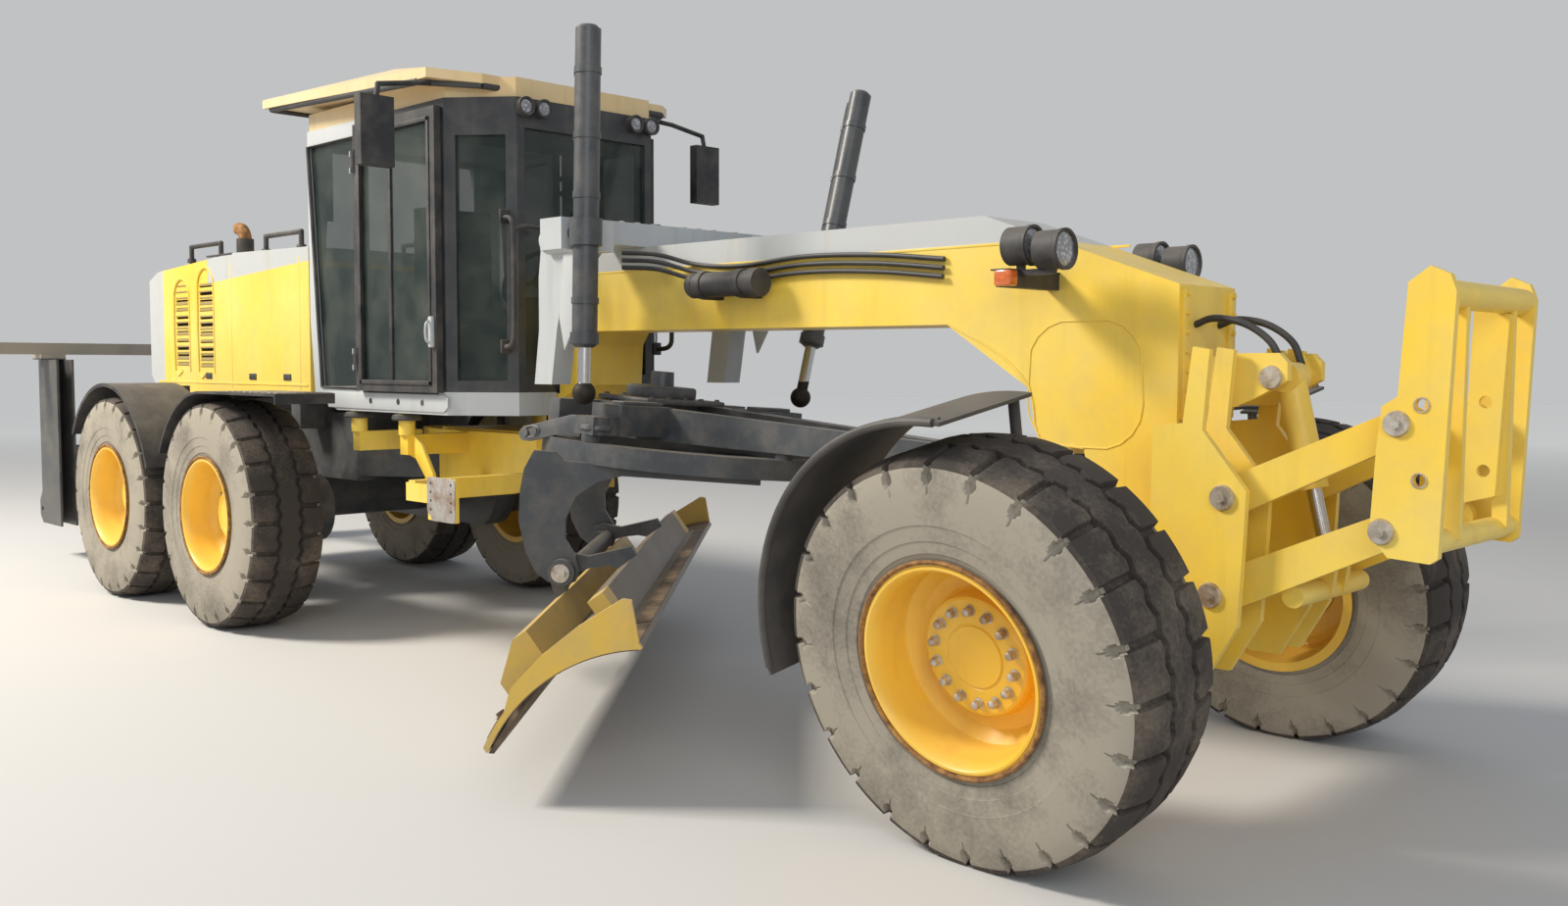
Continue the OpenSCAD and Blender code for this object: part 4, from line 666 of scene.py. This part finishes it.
# Cab: black seals round the glass, the doors' handles, a sill beam with three
# holes on each side drawn as black discs of painted shade, rubber feet,
# handrails, wipers and a dark lip under the roof's edge, painted shade of the
# roof's underside.
# A ring of dark rods along the roof's edge: painted shade of the roof's underside.
lip = moulding("roof_underside_shade", (0.04, 0.04, 0.042), 0.6, 0.5)
HANDS = ((1, "left"), (-1, "right"))
DOOR_Y, PANE_LOW, PANE_HIGH = 0.726, (-4.53, 1.436), (-3.80, 2.79)
mesh, pale = bmesh.new(), bmesh.new()
for side, name in HANDS:
    body = "door_" + name
    y = side * DOOR_Y
    trim, handle = bmesh.new(), bmesh.new()
    rim = [PANE_LOW, (PANE_HIGH[0], PANE_LOW[1]), PANE_HIGH, (PANE_LOW[0], PANE_HIGH[1])]
    for a, b in zip(rim, rim[1:] + rim[:1]):
        block(trim, (min(a[0], b[0]) - 0.012, y - 0.006, min(a[1], b[1]) - 0.012),
              (max(a[0], b[0]) + 0.012, y + 0.003, max(a[1], b[1]) + 0.012), 0.003)
    block(trim, (-4.235, side * 0.709 - 0.008, 1.44), (-4.205, side * 0.709 + 0.012, 2.79), 0.003)
    block(handle, (-3.79, side * 0.735 - 0.012, 1.62), (-3.755, side * 0.735 + 0.012, 1.78), 0.008)
    tube(handle, [(-3.772, side * 0.735, 1.64), (-3.772, side * 0.765, 1.66),
                  (-3.772, side * 0.765, 1.74), (-3.772, side * 0.735, 1.76)], 0.007, 10, 4)
    piece("door_seal_" + name, trim, black, body, "black_plastic")
    piece("door_handle_" + name, handle, silver, body, "silver_paint")
    rear = [(-4.65, 1.40), (-4.65, 2.80), (-5.21, 2.80), (-5.08, 1.40)]
    tube(mesh, [(px, side * 0.682, pz) for px, pz in rear + rear[:1]], 0.012, 8, 1)
    beam = [(-5.0, 1.284), (-3.74, 1.284), (-3.70, 1.31), (-3.70, 1.358), (-3.74, 1.376),
            (-5.02, 1.376)]
    plate(pale, beam, side * 0.684, 0.009, 0.003)
    # Black discs on the sill beam: painted shade in its holes.
    for x in (-4.5, -4.2, -3.95):
        rod(mesh, (x, side * 0.687, 1.33), (x, side * 0.6893, 1.33), 0.017)
    for x in (-4.76, -4.23):
        lathe(mesh, [(0.0001, 0.002), (0.075, 0.002), (0.082, 0.012), (0.078, 0.030), (0.06, 0.038),
                     (0.0001, 0.038)], 28, Matrix.Translation((x, side * 0.62, 1.225))
              @ Matrix.Rotation(radians(90), 4, "X"))
piece("cab_seals", mesh, black, "front_frame", "black_plastic")
piece("cab_sill_beams", pale, silver, "front_frame", "silver_paint")
mesh = bmesh.new()
ring = [(-5.50, 0.76), (-5.50, -0.76), (-3.79, -0.78), (-3.515, -0.58), (-3.505, 0.58),
        (-3.79, 0.78)]
for (ax, ay), (bx, by) in zip(ring, ring[1:] + ring[:1]):
    lift = [3.058 if x < -5 else (2.978 if x < -3.6 else 2.95) for x in (ax, bx)]
    rod(mesh, (ax, ay, lift[0] - 0.012), (bx, by, lift[1] - 0.012), 0.019, sides=10)
piece("roof_edge_shade", mesh, lip, "front_frame", "black_plastic")
mesh = bmesh.new()
for side in SIDES:
    tube(mesh, [(-3.47, side * 0.50, 1.62), (-3.36, side * 0.52, 1.64), (-3.34, side * 0.52, 1.75),
                (-3.34, side * 0.52, 2.15), (-3.36, side * 0.52, 2.26), (-3.47, side * 0.50, 2.28)],
         0.013, 12, 5)
    tube(mesh, [(-3.34, side * 0.52, 2.21), (-3.33, side * 0.45, 2.23), (-3.33, side * 0.28, 2.22)],
         0.011, 12, 4)
    block(mesh, (-3.455, side * 0.50 - 0.03, 1.59), (-3.44, side * 0.50 + 0.03, 1.66), 0.006)
    block(mesh, (-3.455, side * 0.50 - 0.03, 2.25), (-3.44, side * 0.50 + 0.03, 2.32), 0.006)
    tube(mesh, [(-3.44, side * 0.2, 1.53), (-3.412, side * 0.2, 1.56), (-3.412, side * 0.06, 2.2)],
         0.006, 8, 3)
    block(mesh, (-3.415, side * 0.13 - 0.008, 1.75), (-3.405, side * 0.13 + 0.008, 2.35), 0.002,
          Matrix.Rotation(side * radians(14), 4, "X"))
piece("cab_handrails", mesh, black, "front_frame", "black_plastic")

# Fenders: a rolled lip along the outer edge of each front one, and steel
# treads on the flat step of the rear ones.
LIP_R, BEAD_R = 0.762, 0.767
for side, name in HANDS:
    mesh = bmesh.new()
    place = wheel_place("front_" + name)
    for reach, y, radius, sides in ((LIP_R, -0.226, 0.013, 10), (BEAD_R, -0.195, 0.007, 8)):
        tube(mesh, [(reach * cos(radians(a)), y, reach * sin(radians(a)))
                    for a in range(86, 189, 6)], radius, sides, 2)
    piece("fender_lip_" + name, mesh, fender_black, "knuckle_" + name, "black_plastic",
          place=place)
mesh = bmesh.new()
for side in SIDES:
    for k in range(9):
        x = -4.50 - k * 0.075
        block(mesh, (x - 0.012, side * 1.11 - 0.13, 1.3755), (x + 0.012, side * 1.11 + 0.13, 1.382),
              0.002)
piece("step_treads", mesh, zinc, "rear_frame", "bare_steel")

# Front lift group: a cap and a nut on each pin of the arms, and a weld ring
# round each hole of the coupler's hooks.
pins = bmesh.new()
for side in SIDES:
    for x, z in ((0.405, 1.115), (0.370, 0.795)):
        out = side * 0.363
        rod(pins, (x, out, z), (x, out + side * 0.014, z), 0.043, 0.038, 28)
        rod(pins, (x, out + side * 0.013, z), (x, out + side * 0.022, z), 0.017, sides=6)
    rod(pins, (0.455, side * 0.145, 1.5), (0.455, side * 0.157, 1.5), 0.040, 0.036, 28)
    bolts(pins, [(0.26 + 0.03 * k, side * 0.363, 0.62 + 0.09 * k) for k in range(2)], (0, side, 0))
piece("lift_base_pins", pins, zinc, "front_frame", "bare_steel")
pins = bmesh.new()
for side in SIDES:
    for x, z in ((0.945, 1.37), (0.91, 1.05)):
        rod(pins, (x, side * 0.3705, z), (x, side * 0.382, z), 0.040, 0.035, 28)
        rod(pins, (x, side * 0.381, z), (x, side * 0.390, z), 0.016, sides=6)
    for z in (1.426, 1.208):
        tube(pins, [(1.013 + 0.021 * cos(a), side * 0.3715, z + 0.021 * sin(a))
                    for a in [radians(30 * k) for k in range(13)]], 0.003, 6, 1)
piece("coupler_pins", pins, zinc, "coupler", "bare_steel")

# Blade: the curved plate is worn and earthy outside the painted rails, with
# a bolted cutting edge. The carrier gets nuts on its pins, and the drawbar a
# drive cover and two arms with double bosses. All is drawn level, then hung,
# turned and pitched as the solids are.
SWUNG, LOWERED, ROLLED, TURNED, PITCHED = [radians(a) for a in (3, 3.5, -3, 41, -39)]
BALL = Vector((-0.35, 0, 1.13))
hung = (Matrix.Translation(BALL) @ Matrix.Rotation(SWUNG, 4, "Z")
        @ Matrix.Rotation(LOWERED, 4, "Y") @ Matrix.Rotation(ROLLED, 4, "X")
        @ Matrix.Translation(-BALL))
turned = hung @ Matrix.Translation((-2.37, 0, 0)) @ Matrix.Rotation(TURNED, 4, "Z")
pivot = turned @ Matrix.Translation((-0.56, 0, 0.03))
blade = pivot @ Matrix.Rotation(PITCHED, 4, "Y")
earth, tree, shader, place = finish("blade_steel", Metallic=0.25)
clods = noise(tree, place, 6, 8, 0.7)
wear = noise(tree, place, 2, 4, 0.6, (0.15, 1, 1))
feed(shader, Base_Color=mix(tree, clods.part(0.42, 0.62), mix(
    tree, wear.part(0.3, 0.7), (0.05, 0.038, 0.03), (0.12, 0.085, 0.055)), (0.24, 0.165, 0.10)),
     Roughness=clods * 0.4 + 0.45, Normal=bump(tree, clods, 0.6, 0.006))
bulge, tall, thick = 0.095, 0.660, 0.022
GUARD_Y, RAIL_Y, RAIL_FROM = 1.8035, 1.30, 0.49
radius = ((tall / 2) ** 2 + bulge ** 2) / (2 * bulge)


def curve(share, out):
    """A point of the moldboard's curve; out is measured from its back face."""
    half = math.asin(tall / 2 / radius)
    angle = half * (2 * share - 1)
    return (tall / 2 + (radius + out) * sin(angle), bulge - radius + (radius + out) * cos(angle))


def on_blade(x, y, z):
    """1 on the curved plate between its guards and on the top rail's middle, else 0."""
    home = (Matrix.Translation(datum) @ blade).inverted()
    x, y = x + datum.x, y + datum.y
    along, across, out = [x * row[0] + y * row[1] + z * row[2] + row[3] for row in home[:3]]
    reach = ((along - tall / 2) ** 2 + (out - (bulge - radius)) ** 2).math("SQRT")
    plate_only = (1 - over(reach, radius + 0.002)) * (1 - over(across.math("ABSOLUTE"), GUARD_Y))
    worn_rail = over(along, RAIL_FROM) * (1 - over(across.math("ABSOLUTE"), RAIL_Y))
    return plate_only.math("MAXIMUM", worn_rail)


dress(enamel("blade_enamel", (0.80, 0.50, 0.05), (0.66, 0.44, 0.12), dust=0.9, chips=0.9,
             second=(0.085, 0.062, 0.045), split=on_blade), "moldboard")
mesh, edges = bmesh.new(), bmesh.new()
front = [curve(k / 24, -thick - 0.001) for k in range(1, 25)]
inner = [curve(k / 24, -thick - 0.0045) for k in range(24, 0, -1)]
plate(mesh, front + inner, 0, 3.655, 0)
back = [curve(k / 24, 0.001) for k in range(1, 25)]
outer = [curve(k / 24, 0.0045) for k in range(24, 0, -1)]
for side in SIDES:
    plate(mesh, back + outer, side * 1.64, 0.33, 0)
plate(mesh, back[:3] + outer[-3:], 0, 2.9, 0)
plate(mesh, back[-3:] + outer[:3], 0, 2.9, 0)
plate(edges, [curve(share, -thick - deep) for share, deep in (
    (-0.01, 0.020), (0.25, 0.020), (0.26, 0.006), (0.26, 0.001), (-0.02, 0.001))], 0, 3.64, 0.002)
x, z = curve(0.13, 0.002)
for k in range(18):
    y = -1.70 + k * 0.2
    rod(edges, (x, y, z), (x, y, z + 0.018), 0.017, sides=6)
    rod(edges, (x, y, z), (x, y, z + 0.004), 0.024)
piece("blade_faces", mesh, earth, "moldboard", "yellow_paint", place=blade, crease=50)
piece("cutting_edge", edges, earth, "moldboard", "bare_steel", place=blade)
mesh, pins = bmesh.new(), bmesh.new()
for side in SIDES:
    y = side * 0.667
    rod(pins, (0.033, y, 0.439), (0.033, y + side * 0.014, 0.439), 0.040, sides=24)
    rod(pins, (0.033, y + side * 0.012, 0.439), (0.033, y + side * 0.034, 0.439), 0.026, sides=6)
piece("pitch_pin_nuts", pins, zinc, "blade_carrier", "bare_steel", place=pivot)
block(mesh, (-2.86, -0.26, 1.207), (-2.50, 0.26, 1.232), 0.008)
block(mesh, (-2.82, -0.12, 1.23), (-2.56, 0.12, 1.29), 0.014)
rod(mesh, (-2.69, 0, 1.285), (-2.69, 0, 1.36), 0.06, 0.055, 28)
bolts(mesh, [(x, y, 1.231) for x in (-2.84, -2.52) for y in (-0.22, -0.11, 0, 0.11, 0.22)],
      (0, 0, 1), 0.012)
for side in SIDES:
    block(mesh, (-2.41, side * 0.44 - 0.12, 1.204), (-2.33, side * 0.44 + 0.12, 1.222), 0.004)
    lathe(mesh, [(0.066, 0), (0.072, -0.008), (0.068, -0.024), (0.05, -0.03), (0.052, -0.012)], 32,
          Matrix.Translation((-2.36, side * 0.687, 1.088)) @ Matrix.Rotation(radians(-90), 4, "X"))
    plate(mesh, [(-2.43, 1.05), (-2.43, 1.145), (-2.50, 1.145), (-2.74, 1.085), (-2.835, 1.062),
                 (-2.858, 1.045), (-2.866, 1.025), (-2.858, 1.006), (-2.835, 0.996), (-2.80, 0.997),
                 (-2.60, 1.043)], side * 0.70, 0.03, 0.004)
    loop = [(cos(radians(30 * k)), sin(radians(30 * k))) for k in range(13)]
    tube(mesh, [(-2.775 + 0.060 * c * (1 if abs(c) > 0.4 else 0.72), side * 0.716,
                 1.043 + 0.026 * s + 0.0096 * c) for c, s in loop], 0.006, 8, 2)
    for x, z in ((-2.742, 1.049), (-2.808, 1.036)):
        rod(mesh, (x, side * 0.712, z), (x, side * 0.726, z), 0.019, sides=24)
piece("drawbar_cover", mesh, slate, "drawbar", "slate_paint", place=hung)

# Lift cylinders: clamp bands with ports and an oil line along each barrel, an
# end cap and a wiper ring; gusset plates, bosses and bolts on the saddle.
for side, name in HANDS:
    foot = Vector((-2.39, side * 0.687 - 0.113, 1.39 - side * 0.02))
    head = Vector((-2.39, side * 0.784, 2.115))
    way = (head - foot).normalized()
    behind = Vector((-0.079, 0, 0))
    mesh = bmesh.new()
    for along in (-0.46, -0.30, 0.16, 0.42, 0.70):
        spot = head + way * along
        rod(mesh, spot - way * 0.014, spot + way * 0.014, 0.0605, sides=32)
        block(mesh, spot + Vector((-0.075, -0.016, -0.014)), spot + Vector((-0.05, 0.016, 0.014)))
    spot = head + way * 0.88
    rod(mesh, spot - way * 0.004, spot + way * 0.014, 0.054, 0.040, 32)
    rod(mesh, head - way * 0.505, head - way * 0.488, 0.040, 0.060, 32)
    tube(mesh, [head + way * 0.83 + Vector((-0.060, 0, 0))]
         + [head + way * along + behind for along in (0.81, 0.4, 0.12)], 0.010, 10, 4)
    for along in (0.42, 0.70):
        spot = head + way * along + behind
        rod(mesh, spot - way * 0.012, spot + way * 0.012, 0.014)
    piece("lift_barrel_bands_" + name, mesh, slate, "lift_barrel_" + name, "slate_paint")
mesh, pins = bmesh.new(), bmesh.new()
for side in SIDES:
    plate(mesh, [(-2.69, 2.10), (-2.63, 2.04), (-2.63, 1.80), (-2.76, 1.60), (-2.80, 1.75),
                 (-2.76, 2.10)], side * 0.625, 0.02, 0.003)
    lathe(mesh, [(0.062, 0.0), (0.074, -0.004), (0.074, -0.03), (0.062, -0.034)], 32,
          Matrix.Translation((-2.68, side * 0.62, 2.115)) @ Matrix.Rotation(radians(90), 4, "Z"))
    for y in (0.668, 0.768):
        for z in (2.062, 2.168):
            rod(pins, (-2.483, side * y, z), (-2.470, side * y, z), 0.012, sides=6)
    bolts(pins, [(x, side * y, 2.215) for x in (-2.75, -2.90) for y in (0.1, 0.2, 0.3, 0.45)],
          (0, 0, 1))
piece("saddle_gussets", mesh, silver, "front_frame", "silver_paint")
piece("saddle_bolts", pins, zinc, "front_frame", "bare_steel")

# Hoses along the neck's sides and from its leg to the front lift cylinder.
hose_rubber = moulding("hose_rubber", (0.018, 0.018, 0.019), 0.5, 0.4)


def hose(name, points, radius):
    mesh = bmesh.new()
    path = [spot + datum for spot in tube(mesh, points, radius, 12, 8)]
    made = piece(name, mesh, hose_rubber, "front_frame", "black_plastic")
    sum((b - a).length for a, b in zip(path, path[1:]))


for side, name in HANDS:
    for k in range(3):
        y, z = side * (0.212 + 0.004 * k), 2.0 - 0.034 * k
        hose("neck_hose_%s_%d" % (name, k),
             [(-2.62, side * 0.4, z + 0.06), (-2.48, side * 0.30, z + 0.05), (-2.3, y, z),
              (-2.0, y, z - 0.02), (-1.6, y, z), (-1.2, y, z - 0.015), (-0.85, y, z - 0.05)],
             0.0105)
    hose("lift_hose_" + name,
         [(0.15, side * 0.085, 1.68), (0.22, side * 0.085, 1.70), (0.33, side * 0.087, 1.68),
          (0.42, side * 0.085, 1.62), (0.46, side * 0.075, 1.54)], 0.0125)

# Bolt plates below the cab: pale rusted steel with rounded corners, a notch
# and eight holes each, drawn as black discs of painted shade.
scaled, tree, shader, place = finish("plate_steel", Metallic=0.35)
scale = noise(tree, place, 14, 7, 0.7)
feed(shader, Base_Color=mix(tree, scale.part(0.4, 0.65), (0.42, 0.40, 0.37), (0.24, 0.13, 0.07)),
     Roughness=scale * 0.3 + 0.45, Normal=bump(tree, scale, 0.3, 0.001))
mesh, holes = bmesh.new(), bmesh.new()
c = 0.022  # how far a corner is cut
for y, x0, x1, z0, z1 in ((-1.0, -3.361, -3.111, 0.783, 0.994),
                          (0.74, -3.802, -3.533, 0.898, 1.042)):
    side = 1 if y > 0 else -1
    rim = [(x0, z0 + 0.045), (x0 + 0.03, z0 + 0.02), (x0 + 0.045, z0), (x1 - c, z0),
           (x1 - c * 0.3, z0 + c * 0.3), (x1, z0 + c), (x1, z1 - c), (x1 - c * 0.3, z1 - c * 0.3),
           (x1 - c, z1), (x0 + c, z1), (x0 + c * 0.3, z1 - c * 0.3), (x0, z1 - c)]
    plate(mesh, rim, y + side * 0.0125, 0.004, 0.0015)
    for k in range(4):
        for x in (x0 + 0.035, x1 - 0.035):
            z = z0 + 0.055 + (z1 - z0 - 0.085) * k / 3
            # Each hole is a black disc: painted shade.
            rod(holes, (x, y + side * 0.0140, z), (x, y + side * 0.0150, z), 0.0075, sides=14)
piece("bolt_plates", mesh, scaled, "front_frame", "bare_steel")
piece("bolt_plate_hole_shade", holes, black, "front_frame", "bare_steel")

# Gussets under the cab's front feet, each one above a strip with three bolts.
mesh, pins = bmesh.new(), bmesh.new()
for side in SIDES:
    plate(mesh, [(-4.27, 1.14), (-4.19, 1.155), (-4.10, 1.10), (-3.985, 0.945), (-3.985, 0.905),
                 (-4.045, 0.905), (-4.16, 1.02), (-4.27, 1.045)], side * 0.60, 0.022, 0.003)
    block(mesh, (-4.06, side * 0.43 - 0.18, 0.895), (-3.96, side * 0.43 + 0.18, 0.912), 0.003)
    bolts(pins, [(-4.01, side * y, 0.912) for y in (0.33, 0.42, 0.51)], (0, 0, 1), 0.012)
piece("cab_gussets", mesh, yellow, "front_frame", "yellow_paint")
piece("cab_gusset_bolts", pins, zinc, "front_frame", "bare_steel")
